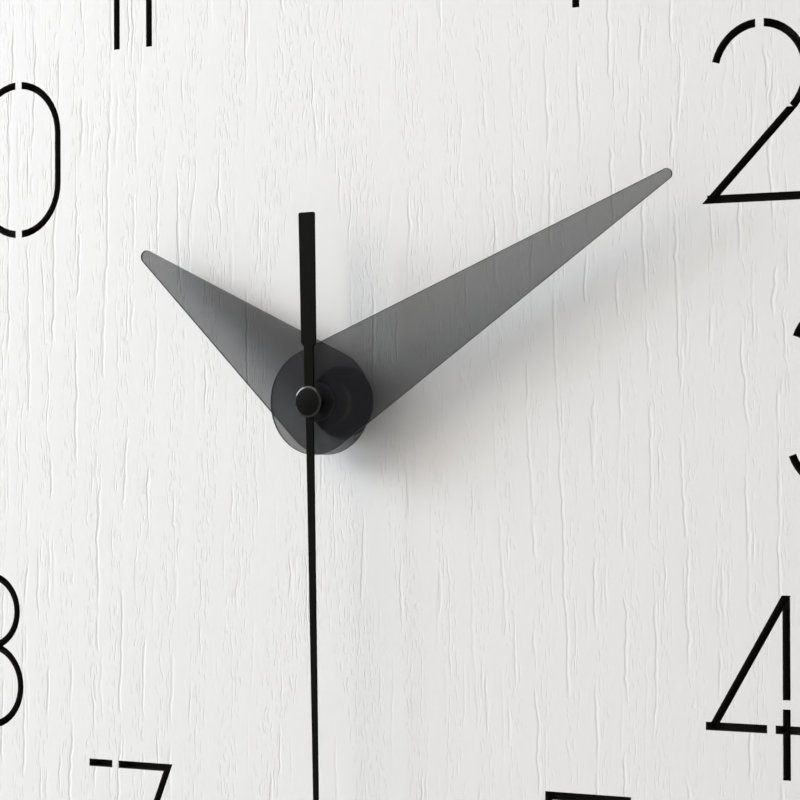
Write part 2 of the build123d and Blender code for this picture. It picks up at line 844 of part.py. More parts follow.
with BuildPart() as back_cover:
    with BuildSketch(layer(case_back)):
        with Locations((0, case_middle)):
            RectangleRounded(case_width, case_height, case_corner)
        with Locations((0, (case_bottom + bay_top) / 2)):
            Rectangle(case_width, bay_top - case_bottom, mode=Mode.SUBTRACT)
    extrude(amount=shell)
    with BuildSketch(layer(cover_front)):
        with Locations((0, snap_height)):
            RectangleRounded(lip_width, lip_height, case_corner - shell)
            Rectangle(lip_width - 2 * cover_lip, lip_height - 2 * cover_lip, mode=Mode.SUBTRACT)
    extrude(amount=cover_lip)
    with BuildSketch(layer(cover_front)):
        for side in (-1, 1):
            with Locations((side * (lip_width - snap_thickness) / 2, snap_height)):
                Rectangle(snap_thickness, snap_width)
    extrude(amount=snap_reach)
    with BuildSketch(layer(snap_hook_back)):
        for side in (-1, 1):
            with Locations((side * (lip_width + snap_hook) / 2, snap_height)):
                Rectangle(snap_hook, snap_width)
    extrude(amount=2 * snap_hook)
    bearing_boss(hand_axis, second_shaft_radius, cover_front, seconds_boss_end, seconds_pivot_length)
    bearing_boss(intermediate_axis, pivot_radius, cover_front, intermediate_boss_end, pivot_length)
    bearing_boss(rotor_axis, pivot_radius, cover_front, intermediate_boss_end, pivot_length)
    for place in pcb_post_places:
        post(place, pcb_post_radius, cover_front, pcb_back)
    post(setting_axis, setting_stem_radius + running_fit, case_back, cover_front, Mode.SUBTRACT)

# Bridge between the two halves of the train, screwed to the pillars of the case
bridge_width = 2 * (chamber_half_width - bridge_margin)
bridge_bottom = chamber_bottom + bridge_margin
bridge_height = bridge_top - bridge_bottom

with BuildPart() as train_bridge:
    with BuildSketch(layer(bridge_back)):
        with Locations((0, bridge_bottom + bridge_height / 2)):
            RectangleRounded(bridge_width, bridge_height, case_corner)
        with Locations(hand_axis, rotor_axis, setting_axis):
            Circle(bridge_clear_hole, mode=Mode.SUBTRACT)
        with Locations(third_axis, intermediate_axis):
            Circle(pivot_radius + running_fit, mode=Mode.SUBTRACT)
        with Locations(pillar_places):
            Circle(bridge_screw_radius + screw_fit, mode=Mode.SUBTRACT)
    extrude(amount=bridge_thickness)

with BuildPart() as bridge_screws:
    for place in pillar_places:
        screw_tip = bridge_front + bridge_screw_length - screw_fit
        post(place, bridge_screw_head, bridge_back - bridge_screw_head_height, bridge_back)
        post(place, bridge_screw_radius, bridge_back, screw_tip)

# Threaded bushing that clamps the movement to the dial, with its washers and nut
with BuildPart() as threaded_bushing:
    post(hand_axis, bushing_radius, chamber_front, bushing_top)
    post(hand_axis, bushing_flange_radius, flange_seat, case_front)
    post(hand_axis, hour_tube_radius + running_fit, chamber_front, bushing_top, Mode.SUBTRACT)
    chamfer(threaded_bushing.faces().sort_by(Axis.Y)[0].outer_wire().edges(), length=bushing_proud)

with BuildPart() as rubber_washer:
    post(hand_axis, rubber_washer_radius, case_front, board_back)
    post(hand_axis, bushing_hole_radius, case_front, board_back, Mode.SUBTRACT)

nut_back = dial_depth + nut_washer_thickness

with BuildPart() as nut_washer:
    post(hand_axis, nut_washer_radius, dial_depth, nut_back)
    post(hand_axis, bushing_hole_radius, dial_depth, nut_back, Mode.SUBTRACT)

with BuildPart() as hex_nut:
    with BuildSketch(layer(nut_back)):
        RegularPolygon(nut_across_flats / 2, 6, major_radius=False)
        Circle(bushing_radius + press_gap, mode=Mode.SUBTRACT)
    extrude(amount=nut_thickness)

# Hour wheel, whose tube carries the hour hand
hour_tube_tip = hour_hand_back + hand_thickness + tube_proud
minute_tube_tip = minute_hand_back + hand_thickness + tube_proud

with BuildPart() as hour_wheel:
    rim = hour_layer + wheel_thickness
    gear(hand_axis, hour_teeth, hour_module, hour_phase, wheel_teeth, hour_layer, rim)
    post(hand_axis, hour_tube_radius, hour_layer, hour_tube_tip)
    post(hand_axis, minute_tube_radius + running_fit, hour_layer, hour_tube_tip, Mode.SUBTRACT)

# Cannon pinion, whose tube carries the minute hand and, by friction, the centre wheel
cannon_back = centre_layer - leaf_overlap / 2

with BuildPart() as cannon_pinion:
    leaf_start = motion_layer - leaf_overlap
    leaf_end = motion_layer + wheel_thickness + leaf_overlap
    gear(hand_axis, cannon_leaves, motion_module, cannon_phase, pinion_leaves, leaf_start, leaf_end)
    post(hand_axis, minute_tube_radius, cannon_back, minute_tube_tip)
    post(hand_axis, second_shaft_radius + running_fit, cannon_back, minute_tube_tip, Mode.SUBTRACT)

with BuildPart() as centre_wheel:
    rim = centre_layer + wheel_thickness
    gear(hand_axis, centre_teeth, centre_module, centre_phase, wheel_teeth, centre_layer, rim)
    post(hand_axis, minute_tube_radius + running_fit, centre_layer, rim, Mode.SUBTRACT)

# Motion wheel and its pinion, on a post of the case
with BuildPart() as motion_wheel:
    rim = motion_layer + wheel_thickness
    leaf_end = hour_layer + wheel_thickness + leaf_overlap
    gear(motion_axis, motion_teeth, motion_module, motion_phase, wheel_teeth, motion_layer, rim)
    gear(motion_axis, motion_leaves, hour_module, motion_leaf_phase, pinion_leaves, rim, leaf_end)
    post(motion_axis, motion_post_radius + running_fit, motion_layer, leaf_end, Mode.SUBTRACT)

# Third wheel, with its pinion on the dial side
with BuildPart() as third_wheel:
    rim = third_layer + wheel_thickness
    leaf_end = centre_layer + wheel_thickness + leaf_overlap
    gear(third_axis, third_teeth, third_module, third_phase, wheel_teeth, third_layer, rim)
    gear(third_axis, third_leaves, centre_module, third_leaf_phase, pinion_leaves, rim, leaf_end)
    post(third_axis, pivot_radius, bridge_back, third_boss_start + pivot_length - end_shake)

# Seconds wheel and pinion, moulded together, on the shaft of the second hand
with BuildPart() as seconds_wheel:
    rim = seconds_layer + wheel_thickness
    leaf_start = third_layer - leaf_overlap
    leaf_end = third_layer + wheel_thickness + leaf_overlap
    gear(hand_axis, seconds_teeth, fast_module, seconds_phase, wheel_teeth, seconds_layer, rim)
    post(hand_axis, seconds_hub_radius, seconds_layer - leaf_overlap, leaf_start)
    gear(hand_axis, seconds_leaves, third_module, seconds_leaf_phase, pinion_leaves, leaf_start, leaf_end)
    post(hand_axis, second_shaft_radius + press_gap, seconds_layer - leaf_overlap, leaf_end, Mode.SUBTRACT)

with BuildPart() as second_shaft:
    shaft_end = seconds_boss_end - seconds_pivot_length + end_shake
    post(hand_axis, second_shaft_radius, shaft_end, second_shaft_tip)

# Intermediate wheel, between the rotor and the seconds wheel
with BuildPart() as intermediate_wheel:
    rim = intermediate_layer + wheel_thickness
    leaf_end = seconds_layer + wheel_thickness + leaf_overlap
    pivot_end = intermediate_boss_end - pivot_length + end_shake
    gear(
        intermediate_axis,
        intermediate_teeth,
        fast_module,
        intermediate_phase,
        wheel_teeth,
        intermediate_layer,
        rim,
    )
    gear(
        intermediate_axis,
        intermediate_leaves,
        fast_module,
        intermediate_leaf_phase,
        pinion_leaves,
        rim,
        leaf_end,
    )
    post(intermediate_axis, pivot_radius, pivot_end, bridge_front)

# Rotor of the stepping motor: pinion with its arbor, and the magnet
magnet_back = stator_back + (stator_thickness - magnet_length) / 2
magnet_front = magnet_back + magnet_length

with BuildPart() as rotor_pinion:
    leaf_start = intermediate_layer - leaf_overlap
    leaf_end = intermediate_layer + wheel_thickness + leaf_overlap
    gear(rotor_axis, rotor_leaves, fast_module, rotor_phase, pinion_leaves, leaf_start, leaf_end)
    post(rotor_axis, arbor_radius, leaf_end, magnet_front)
    post(rotor_axis, pivot_radius, pivot_end, rotor_boss_start + pivot_length - end_shake)

with BuildPart() as rotor_magnet:
    post(rotor_axis, magnet_radius, magnet_back, magnet_front)
    post(rotor_axis, arbor_radius + press_gap, magnet_back, magnet_front, Mode.SUBTRACT)

# Stator: a plate round the magnet, with a leg up to each end of the coil
stator_ring_radius = stator_hole_radius + stator_web
leg_top = coil_height + core_width / 2
leg_bottom = rotor_axis[1] - stator_bar_height / 2

with BuildPart() as stator:
    with BuildSketch(layer(stator_back)):
        with Locations((0, rotor_axis[1])):
            Rectangle(stator_span, stator_bar_height)
        with Locations(rotor_axis):
            Circle(stator_ring_radius)
        for leg, _ in stator_leg_places:
            with Locations((leg, (leg_bottom + leg_top) / 2)):
                Rectangle(stator_leg_width, leg_top - leg_bottom)
        with Locations(rotor_axis):
            Circle(stator_hole_radius, mode=Mode.SUBTRACT)
        for up in (90, -90):
            with Locations(along(rotor_axis, stator_ring_radius, up)):
                Circle(stator_notch, mode=Mode.SUBTRACT)
    extrude(amount=stator_thickness)

# Coil: core, bobbin and winding
with BuildPart() as coil_core:
    with BuildSketch(layer(core_back)):
        with Locations((0, coil_height)):
            Rectangle(stator_span, core_width)
    extrude(amount=core_thickness)


def coil_tube(radius, start, end, mode=Mode.ADD):
    """Round length of the coil about its own axis, which runs along X."""
    with BuildSketch(Plane.YZ.offset(start)) as section:
        with Locations((-coil_depth, coil_height)):
            Circle(radius)
    extrude(section.sketch, amount=end - start, mode=mode)


bobbin_half = bobbin_length / 2

with BuildPart() as coil_bobbin:
    coil_tube(bobbin_tube_radius, -bobbin_half, bobbin_half)
    coil_tube(bobbin_flange_radius, -bobbin_half, bobbin_flange_thickness - bobbin_half)
    coil_tube(bobbin_flange_radius, bobbin_half - bobbin_flange_thickness, bobbin_half)
    with BuildSketch(Plane.YZ.offset(-bobbin_half)):
        with Locations((-coil_depth, coil_height)):
            Rectangle(core_thickness + 2 * press_gap, core_width + 2 * press_gap)
    extrude(amount=bobbin_length, mode=Mode.SUBTRACT)

with BuildPart() as coil_winding:
    winding_half = bobbin_half - bobbin_flange_thickness - press_gap
    coil_tube(winding_radius, -winding_half, winding_half)
    coil_tube(bobbin_tube_radius + press_gap, -winding_half, winding_half, Mode.SUBTRACT)

# Circuit board with its chip and quartz can
with BuildPart() as circuit_board:
    with BuildSketch(layer(pcb_back)):
        with Locations(pcb_place):
            Rectangle(pcb_width, pcb_height)
    extrude(amount=pcb_thickness)

with BuildPart() as control_chip:
    chip_place = (pcb_place[0] - pcb_width / 4, pcb_place[1])
    post(chip_place, chip_radius, pcb_front, pcb_front + chip_height)
    fillet(control_chip.faces().sort_by(Axis.Y)[0].edges(), radius=chip_height / 2)

with BuildPart() as quartz_can:
    with BuildSketch(Plane.XY.offset(pcb_place[1] - quartz_length / 2)):
        with Locations((pcb_place[0] + pcb_width / 4, -pcb_front - quartz_radius)):
            Circle(quartz_radius)
    extrude(amount=quartz_length)

# Setting knob with its stem, and the pinion that turns the motion wheel
with BuildPart() as setting_knob:
    knob_back = knob_front - knob_height
    serration_pitch = 2 * knob_radius / knob_serrations
    serrations = (0, knob_serration_depth / serration_pitch, 0.9, 0.5)
    gear(setting_axis, knob_serrations, serration_pitch, 0, serrations, knob_back, knob_front)
    post(setting_axis, setting_stem_radius, knob_front, motion_layer - leaf_overlap)
    setting_tip = setting_boss_start + pivot_length - end_shake
    post(setting_axis, setting_pivot_radius, motion_layer - leaf_overlap, setting_tip)

with BuildPart() as setting_pinion:
    leaf_start = motion_layer - leaf_overlap
    leaf_end = motion_layer + wheel_thickness + leaf_overlap
    gear(setting_axis, setting_leaves, motion_module, setting_phase, pinion_leaves, leaf_start, leaf_end)
    post(setting_axis, setting_pivot_radius + press_gap, leaf_start, leaf_end, Mode.SUBTRACT)

# Cell and the two contacts that hold it
cell_shoulder = cell_start + cell_nub_length

with BuildPart() as battery_cell:
    with BuildSketch(Plane.YZ.offset(cell_shoulder)):
        with Locations((-cell_axis_depth, cell_axis_height)):
            Circle(cell_diameter / 2)
    extrude(amount=cell_end - cell_shoulder)
    fillet(battery_cell.edges().filter_by(GeomType.CIRCLE), radius=cell_edge_round)
    with BuildSketch(Plane.YZ.offset(cell_start)):
        with Locations((-cell_axis_depth, cell_axis_height)):
            Circle(cell_nub_diameter / 2)
    extrude(amount=cell_nub_length)


def contact_plate(outer):
    """Flat back of a cell contact against an end wall of the bay, with its tail."""
    tail_top = chamber_bottom + contact_tail_length
    with BuildSketch(Plane.YZ.offset(outer)) as outline:
        with Locations((-cell_axis_depth, cell_axis_height)):
            Rectangle(contact_width, contact_height)
        with Locations((-tail_depth, (cell_axis_height + tail_top) / 2)):
            Rectangle(contact_tail_width, tail_top - cell_axis_height)
    extrude(outline.sketch, amount=contact_thickness)


with BuildPart() as positive_contact:
    contact_plate(-bay_half_length)

with BuildPart() as negative_contact:
    contact_plate(bay_half_length - contact_thickness)
    leaf_face = bay_half_length - contact_thickness
    leaf_crown = cell_end + cell_touch_gap
    leaf_half = contact_width / 2
    with BuildSketch(Plane.XY.offset(cell_axis_height - contact_height / 2)):
        with BuildLine():
            ThreePointArc(
                (leaf_face, -cell_axis_depth - leaf_half),
                (leaf_crown, -cell_axis_depth),
                (leaf_face, -cell_axis_depth + leaf_half),
            )
            Line(
                (leaf_face, -cell_axis_depth + leaf_half),
                (leaf_face, -cell_axis_depth + leaf_half - contact_thickness),
            )
            ThreePointArc(
                (leaf_face, -cell_axis_depth + leaf_half - contact_thickness),
                (leaf_crown + contact_thickness, -cell_axis_depth),
                (leaf_face, -cell_axis_depth - leaf_half + contact_thickness),
            )
            Line(
                (leaf_face, -cell_axis_depth - leaf_half + contact_thickness),
                (leaf_face, -cell_axis_depth - leaf_half),
            )
        make_face()
    extrude(amount=contact_height)

pieces = {
    "front_panel": front_panel,
    "backing_board": backing_board,
    "frame_ring": frame_ring,
    "wall_pads": wall_pads,
    "hanger_block": hanger_block,
    "keyhole_plate": keyhole_plate,
    "plate_screws": plate_screws,
    "hour_hand": hour_hand,
    "hour_hand_bush": hour_hand_bush,
    "minute_hand": minute_hand,
    "minute_hand_bush": minute_hand_bush,
    "second_hand": second_hand,
    "second_hand_cap": second_hand_cap,
    "second_hand_collet": second_hand_collet,
    "movement_case": movement_case,
    "back_cover": back_cover,
    "train_bridge": train_bridge,
    "bridge_screws": bridge_screws,
    "threaded_bushing": threaded_bushing,
    "rubber_washer": rubber_washer,
    "nut_washer": nut_washer,
    "hex_nut": hex_nut,
    "hour_wheel": hour_wheel,
    "cannon_pinion": cannon_pinion,
    "centre_wheel": centre_wheel,
    "motion_wheel": motion_wheel,
    "third_wheel": third_wheel,
    "seconds_wheel": seconds_wheel,
    "second_shaft": second_shaft,
    "intermediate_wheel": intermediate_wheel,
    "rotor_pinion": rotor_pinion,
    "rotor_magnet": rotor_magnet,
    "stator": stator,
    "coil_core": coil_core,
    "coil_bobbin": coil_bobbin,
    "coil_winding": coil_winding,
    "circuit_board": circuit_board,
    "control_chip": control_chip,
    "quartz_can": quartz_can,
    "setting_knob": setting_knob,
    "setting_pinion": setting_pinion,
    "battery_cell": battery_cell,
    "positive_contact": positive_contact,
    "negative_contact": negative_contact,
}

os.makedirs("parts", exist_ok=True)
for name, piece in pieces.items():
    piece.part.label = name
    export_step(piece.part, f"parts/{name}.step")
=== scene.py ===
"""Looks of a round wall clock: white grained dial, smoked hands and a battery movement behind it."""

import logging
from dataclasses import dataclass, field
from enum import Enum
from math import cos, pi, radians, sin
from typing import Any, ClassVar, Iterable

import bmesh
import bpy
from mathutils import Matrix, Vector


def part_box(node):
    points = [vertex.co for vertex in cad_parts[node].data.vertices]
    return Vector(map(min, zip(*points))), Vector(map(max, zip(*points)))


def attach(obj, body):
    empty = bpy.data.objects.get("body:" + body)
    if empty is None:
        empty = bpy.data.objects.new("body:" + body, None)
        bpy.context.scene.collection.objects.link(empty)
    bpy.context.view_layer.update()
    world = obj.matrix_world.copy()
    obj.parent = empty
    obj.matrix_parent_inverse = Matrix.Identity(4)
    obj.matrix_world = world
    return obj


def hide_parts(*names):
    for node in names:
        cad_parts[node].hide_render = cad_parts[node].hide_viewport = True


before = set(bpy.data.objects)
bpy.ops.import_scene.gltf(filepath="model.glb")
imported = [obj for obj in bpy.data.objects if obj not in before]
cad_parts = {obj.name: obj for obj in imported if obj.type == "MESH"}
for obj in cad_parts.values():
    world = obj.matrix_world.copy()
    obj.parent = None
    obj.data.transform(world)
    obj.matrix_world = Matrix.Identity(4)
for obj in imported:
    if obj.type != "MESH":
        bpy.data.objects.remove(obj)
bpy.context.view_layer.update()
MM = 0.001
MM_IN_METRE = 1000.0
MERGE_GAP = 0.002 * MM
CREASE_DEGREES = 28.0
QUARTER_TURN = pi / 2.0
FULL_TURN = 2.0 * pi

log = logging.getLogger("wall_clock")
Colour = tuple[float, float, float]
Point = tuple[float, float, float]
Value = Any


class Signal:
    """A shader socket that takes part in Python expressions."""

    def __init__(self, graph: "Graph", socket: bpy.types.NodeSocket) -> None:
        """Keep the graph that owns the socket, and the socket."""
        self.graph = graph
        self.socket = socket

    def _math(self, operation: str, *values: Value) -> "Signal":
        """Add one Math node.

        Args:
            operation: Name of the Math node's operation.
            values: Numbers or signals, in the order of its sockets.

        Returns:
            The node's result.
        """
        return self.graph.node("ShaderNodeMath", {"operation": operation}, dict(enumerate(values)))

    def __add__(self, other: Value) -> "Signal":
        """Sum with a number or a signal."""
        return self._math("ADD", self, other)

    def __radd__(self, other: Value) -> "Signal":
        """Sum with a number on the left."""
        return self._math("ADD", other, self)

    def __sub__(self, other: Value) -> "Signal":
        """Difference from a number or a signal."""
        return self._math("SUBTRACT", self, other)

    def __rsub__(self, other: Value) -> "Signal":
        """Difference of a number on the left."""
        return self._math("SUBTRACT", other, self)

    def __mul__(self, other: Value) -> "Signal":
        """Product with a number or a signal."""
        return self._math("MULTIPLY", self, other)

    def __rmul__(self, other: Value) -> "Signal":
        """Product with a number on the left."""
        return self._math("MULTIPLY", other, self)

    def __truediv__(self, other: Value) -> "Signal":
        """Quotient by a number or a signal."""
        return self._math("DIVIDE", self, other)

    def __rtruediv__(self, other: Value) -> "Signal":
        """Quotient of a number on the left."""
        return self._math("DIVIDE", other, self)

    def __pow__(self, other: Value) -> "Signal":
        """Power of this signal."""
        return self._math("POWER", self, other)

    def __rpow__(self, other: Value) -> "Signal":
        """Power of a number on the left."""
        return self._math("POWER", other, self)

    def __abs__(self) -> "Signal":
        """Size of this signal without its sign."""
        return self._math("ABSOLUTE", self)

    def fract(self) -> "Signal":
        """Part after the decimal point."""
        return self._math("FRACT", self)

    def sine(self) -> "Signal":
        """Sine of this signal in radians."""
        return self._math("SINE", self)

    def highest(self, other: Value) -> "Signal":
        """The larger of two values."""
        return self._math("MAXIMUM", self, other)

    def step(self, low: float, high: float) -> "Signal":
        """Smooth rise from 0 to 1.

        Args:
            low: Value at which the rise starts.
            high: Value at which it ends, which may be the lower one.

        Returns:
            The smoothed signal.
        """
        return self.graph.node(
            "ShaderNodeMapRange",
            {"interpolation_type": "SMOOTHSTEP"},
            {0: self, 1: low, 2: high, 3: 0.0, 4: 1.0},
        )


class Graph:
    """Node tree of a material or of the world."""

    def __init__(self, tree: bpy.types.NodeTree) -> None:
        """Start from an emptied tree."""
        self.tree = tree
        tree.nodes.clear()

    def node(
        self,
        kind: str,
        settings: dict[str, Value] | None = None,
        inputs: dict[int | str, Value] | None = None,
        output: int | str = 0,
    ) -> Signal:
        """Add a node.

        Args:
            kind: Blender's name of the node type.
            settings: Properties that are set first; stops are the places and colours of a ramp.
            inputs: Values or signals by socket name or place.
            output: Name or place of the wanted output.

        Returns:
            The wanted output of the node, or its first input where it has none.
        """
        made = self.tree.nodes.new(kind)
        for key, value in (settings or {}).items():
            if key == "stops":
                ramp = made.color_ramp.elements
                while len(ramp) < len(value):
                    ramp.new(1.0)
                for stop, (place, colour) in zip(ramp, value):
                    stop.position = place
                    stop.color = (*colour, 1.0)
            else:
                setattr(made, key, value)
        for key, value in (inputs or {}).items():
            socket = made.inputs[key]
            if isinstance(value, Signal):
                self.tree.links.new(value.socket, socket)
            elif isinstance(value, tuple) and socket.type == "RGBA":
                socket.default_value = (*value, 1.0)
            else:
                socket.default_value = value
        return Signal(self, made.outputs[output] if made.outputs else made.inputs[0])

    def place(self, *stretch: float) -> Signal:
        """Object coordinates in millimetres.

        Args:
            stretch: Factors along X, Y and Z, left out for a plain copy.

        Returns:
            The scaled vector.
        """
        spot = self.node("ShaderNodeTexCoord", output="Object")
        factors = tuple(MM_IN_METRE * value for value in (stretch or (1.0, 1.0, 1.0)))
        return self.node("ShaderNodeVectorMath", {"operation": "MULTIPLY"}, {0: spot, 1: factors})

    def axes(self) -> tuple[Signal, Signal, Signal]:
        """Object coordinates in millimetres, one signal for each axis."""
        parts = self.node("ShaderNodeSeparateXYZ", inputs={0: self.place()})
        outputs = parts.socket.node.outputs
        return tuple(Signal(self, outputs[number]) for number in range(3))

    def vector(self, x: Value, y: Value, z: Value) -> Signal:
        """Join three values into a vector."""
        return self.node("ShaderNodeCombineXYZ", inputs={0: x, 1: y, 2: z})

    def noise(
        self,
        vector: Signal,
        detail: float = 2.0,
        roughness: float = 0.5,
        bend: float = 0.0,
    ) -> Signal:
        """Soft noise with features about one unit wide.

        Args:
            vector: Where the noise is read.
            detail: Octaves of finer noise.
            roughness: Weight of those octaves.
            bend: How far the noise distorts itself.

        Returns:
            Values around 0.5.
        """
        inputs = {
            "Vector": vector,
            "Scale": 1.0,
            "Detail": detail,
            "Roughness": roughness,
            "Distortion": bend,
        }
        return self.node("ShaderNodeTexNoise", inputs=inputs)

    def blend(self, amount: Value, first: Value, second: Value) -> Signal:
        """Mix two colours.

        Args:
            amount: 0 for the first, 1 for the second.
            first: Colour or signal.
            second: Colour or signal.

        Returns:
            The mixed colour.
        """
        settings = {"data_type": "RGBA", "clamp_factor": True}
        return self.node("ShaderNodeMix", settings, {0: amount, 6: first, 7: second}, 2)

    def ramp(self, amount: Signal, *stops: tuple[float, Colour]) -> Signal:
        """Colour that follows a value.

        Args:
            amount: The value, from 0 to 1.
            stops: Places and colours along it.

        Returns:
            The colour.
        """
        return self.node("ShaderNodeValToRGB", {"stops": stops}, {0: amount})

    def seen(self) -> Signal:
        """1 for rays from the eye, reflections and clear sheet, and 0 for rays that light a surface."""
        path = self.node("ShaderNodeLightPath").socket.node.outputs
        mask = Signal(self, path["Is Camera Ray"])
        for name in ("Is Glossy Ray", "Is Transmission Ray"):
            mask = mask.highest(Signal(self, path[name]))
        return mask

    def relief(self, height: Signal, depth_mm: float) -> Signal:
        """Normal of a surface with a fine relief.

        Args:
            height: Relief from 0 to 1.
            depth_mm: Depth that 1 stands for.

        Returns:
            The bent normal.
        """
        inputs = {"Strength": 1.0, "Distance": depth_mm * MM, "Height": height}
        return self.node("ShaderNodeBump", inputs=inputs)


def shade(colour: Colour, share: float) -> Colour:
    """The colour with each part multiplied by the share."""
    return tuple(share * part for part in colour)


@dataclass(frozen=True)
class Finish:
    """A surface finish, made into one material when it is first asked for."""

    shelf: ClassVar[dict[str, bpy.types.Material]] = {}
    name: str

    def paint(self, graph: Graph) -> dict[str, Value]:
        """Sockets of the surface shader; each finish has its own."""
        raise NotImplementedError

    def material(self) -> bpy.types.Material:
        """Make the material, or find it.

        Returns:
            The material with this finish's name.
        """
        if self.name not in self.shelf:
            made = bpy.data.materials.new(self.name)
            made.use_nodes = True
            graph = Graph(made.node_tree)
            surface = graph.node("ShaderNodeBsdfPrincipled", inputs=self.paint(graph))
            graph.node("ShaderNodeOutputMaterial", inputs={"Surface": surface})
            self.shelf[self.name] = made
        return self.shelf[self.name]


@dataclass(frozen=True)
class GrainedPaint(Finish):
    """White paint that sinks into the pores and ring lines of a sawn board; lengths in millimetres."""

    colour: Colour = (0.87, 0.868, 0.862)
    heart_x: float = -6.0
    heart_depth: float = 33.5
    heart_lean: float = 0.06
    apex_height: float = 47.0
    ring_spacing: float = 6.2
    relief_mm: float = 0.10
    waver_mm: float = 1.6
    kink_mm: float = 0.9
    sway_mm: float = 4.0
    coarse_reach: float = 75.0
    least_coarse: float = 0.66
    coarse_gain: float = 0.56
    # Share of the colour where the painted groove shade and the random mottle are darkest.
    groove_shade_and_mottle_share: float = 0.82

    def paint(self, graph: Graph) -> dict[str, Value]:
        """Rings around a leaning heart, with pores in the early half of each ring."""
        x, _, z = graph.axes()
        kinks = graph.noise(graph.place(0.3, 0.3, 0.32), 1.0)
        drift = graph.noise(graph.place(0.11, 0.11, 0.09), 2.0)
        waver = x + (drift - 0.5) * self.waver_mm + (kinks - 0.5) * self.kink_mm
        across = waver - self.heart_x
        behind = (z - self.apex_height) * self.heart_lean + self.heart_depth
        sway = graph.noise(graph.place(0.035, 0.035, 0.009), 2.0)
        ring = (across * across + behind * behind) ** 0.5 + (sway - 0.5) * self.sway_mm
        phase = ((ring - self.heart_depth) / self.ring_spacing).fract()
        porous = phase.step(0.0, 0.05) * phase.step(0.72, 0.45)
        short = graph.noise(graph.vector(waver * 2.3, 0.0, z * 0.3), 1.0, 0.4).step(0.56, 0.68)
        long = graph.noise(graph.vector(waver * 0.72, 7.0, z * 0.042), 1.0, 0.45).step(0.62, 0.73)
        upright = (abs(across) / ring).step(0.70, 0.92)
        seam = phase.step(0.0, 0.05) * phase.step(0.15, 0.07) * upright
        broken = graph.noise(graph.place(0.2, 0.2, 0.07), 1.0).step(0.48, 0.56)
        fibre = graph.noise(graph.vector(waver * 3.0, 0.0, z * 0.12), 3.0, 0.6)
        groove = (short * porous * 0.55).highest(long * (porous * 0.6 + 0.4)).highest(seam * broken)
        coarse = x.step(self.coarse_reach, -self.coarse_reach) * self.coarse_gain + self.least_coarse
        height = (fibre * 0.16 - groove) * coarse
        mottle = graph.noise(graph.place(0.05, 0.05, 0.02), 3.0)
        # Painted shade: the colour darkens in the grooves, on top of random mottle and fibre tone.
        tone = groove * 0.05 + (mottle - 0.5) * 0.10 + (fibre - 0.5) * 0.05
        return {
            "Base Color": graph.blend(tone, self.colour, shade(self.colour, self.groove_shade_and_mottle_share)),
            "Roughness": groove * 0.2 + 0.5,
            "Specular IOR Level": 0.35,
            "Normal": graph.relief(height, self.relief_mm),
        }


@dataclass(frozen=True)
class PlainPaint(Finish):
    """Sprayed paint with a faint orange peel."""

    colour: Colour = (0.84, 0.838, 0.832)
    rough: float = 0.5
    dull_share: ClassVar[float] = 0.86
    peel_mm: ClassVar[float] = 0.03

    def paint(self, graph: Graph) -> dict[str, Value]:
        """Even colour with a soft peel and slight rubbing."""
        peel = graph.noise(graph.place(0.9, 0.9, 0.9), 3.0, 0.55)
        cloud = graph.noise(graph.place(0.04, 0.04, 0.04), 3.0)
        dull = shade(self.colour, self.dull_share)
        return {
            "Base Color": graph.blend((cloud - 0.42) * 0.8, self.colour, dull),
            "Roughness": peel * 0.15 + (self.rough - 0.07),
            "Normal": graph.relief(peel, self.peel_mm),
        }


@dataclass(frozen=True)
class PaleFloor(PlainPaint):
    """Floor paint that looks paler than the lamps leave it, and lights nothing."""

    glow: float = 0.22

    def paint(self, graph: Graph) -> dict[str, Value]:
        """Even paint with a glow for the eye and for reflections alone."""
        glow = (self.glow, self.glow, self.glow)
        lifted = graph.blend(graph.seen(), (0.0, 0.0, 0.0), glow)
        return {**super().paint(graph), "Emission Color": lifted, "Emission Strength": 1.0}


@dataclass(frozen=True)
class CharredCut(Finish):
    """Wall of a cut that a hot beam left brown and black."""

    def paint(self, graph: Graph) -> dict[str, Value]:
        """Scorch lines across the thickness of the board."""
        streak = graph.noise(graph.place(2.5, 0.15, 2.5), 3.0, 0.6)
        _, depth, _ = graph.axes()
        # Darker towards the back of the cut, with the scorch streaks on top.
        back_dark_and_streak = depth.step(-29.0, -27.6) * 0.7 + streak * 0.3
        return {
            "Base Color": graph.ramp(back_dark_and_streak, (0.0, (0.045, 0.026, 0.015)), (0.6, (0.009, 0.007, 0.006))),
            "Roughness": streak * 0.2 + 0.7,
            "Normal": graph.relief(streak, 0.08),
        }


@dataclass(frozen=True)
class BlackFibre(Finish):
    """Black fibreboard with a short nap."""

    def paint(self, graph: Graph) -> dict[str, Value]:
        """Near black with specks of fibre."""
        fleck = graph.noise(graph.place(2.0, 2.0, 1.2), 4.0, 0.7)
        return {
            "Base Color": graph.ramp(fleck, (0.35, (0.006, 0.006, 0.006)), (0.75, (0.022, 0.021, 0.02))),
            "Roughness": fleck * 0.2 + 0.72,
            "Normal": graph.relief(fleck, 0.05),
        }


@dataclass(frozen=True)
class PlanedPine(Finish):
    """Planed softwood with its grain along X."""

    def paint(self, graph: Graph) -> dict[str, Value]:
        """Growth rings seen on the flat side of a batten."""
        sway = graph.noise(graph.place(0.02, 0.12, 0.12), 2.0)
        _, y, z = graph.axes()
        ring = ((z + y * 0.6) / 4.2 + sway * 3.0).fract()
        late = ring.step(0.35, 0.95) * ring.step(1.0, 0.96)
        fibre = graph.noise(graph.place(0.12, 4.0, 4.0), 3.0, 0.6)
        warm = graph.blend(late * 0.85, (0.66, 0.49, 0.30), (0.47, 0.28, 0.13))
        return {
            "Base Color": graph.blend((fibre - 0.35) * 0.6, warm, (0.36, 0.22, 0.11)),
            "Roughness": fibre * 0.2 + 0.5,
            "Normal": graph.relief(fibre - late * 0.4, 0.06),
        }


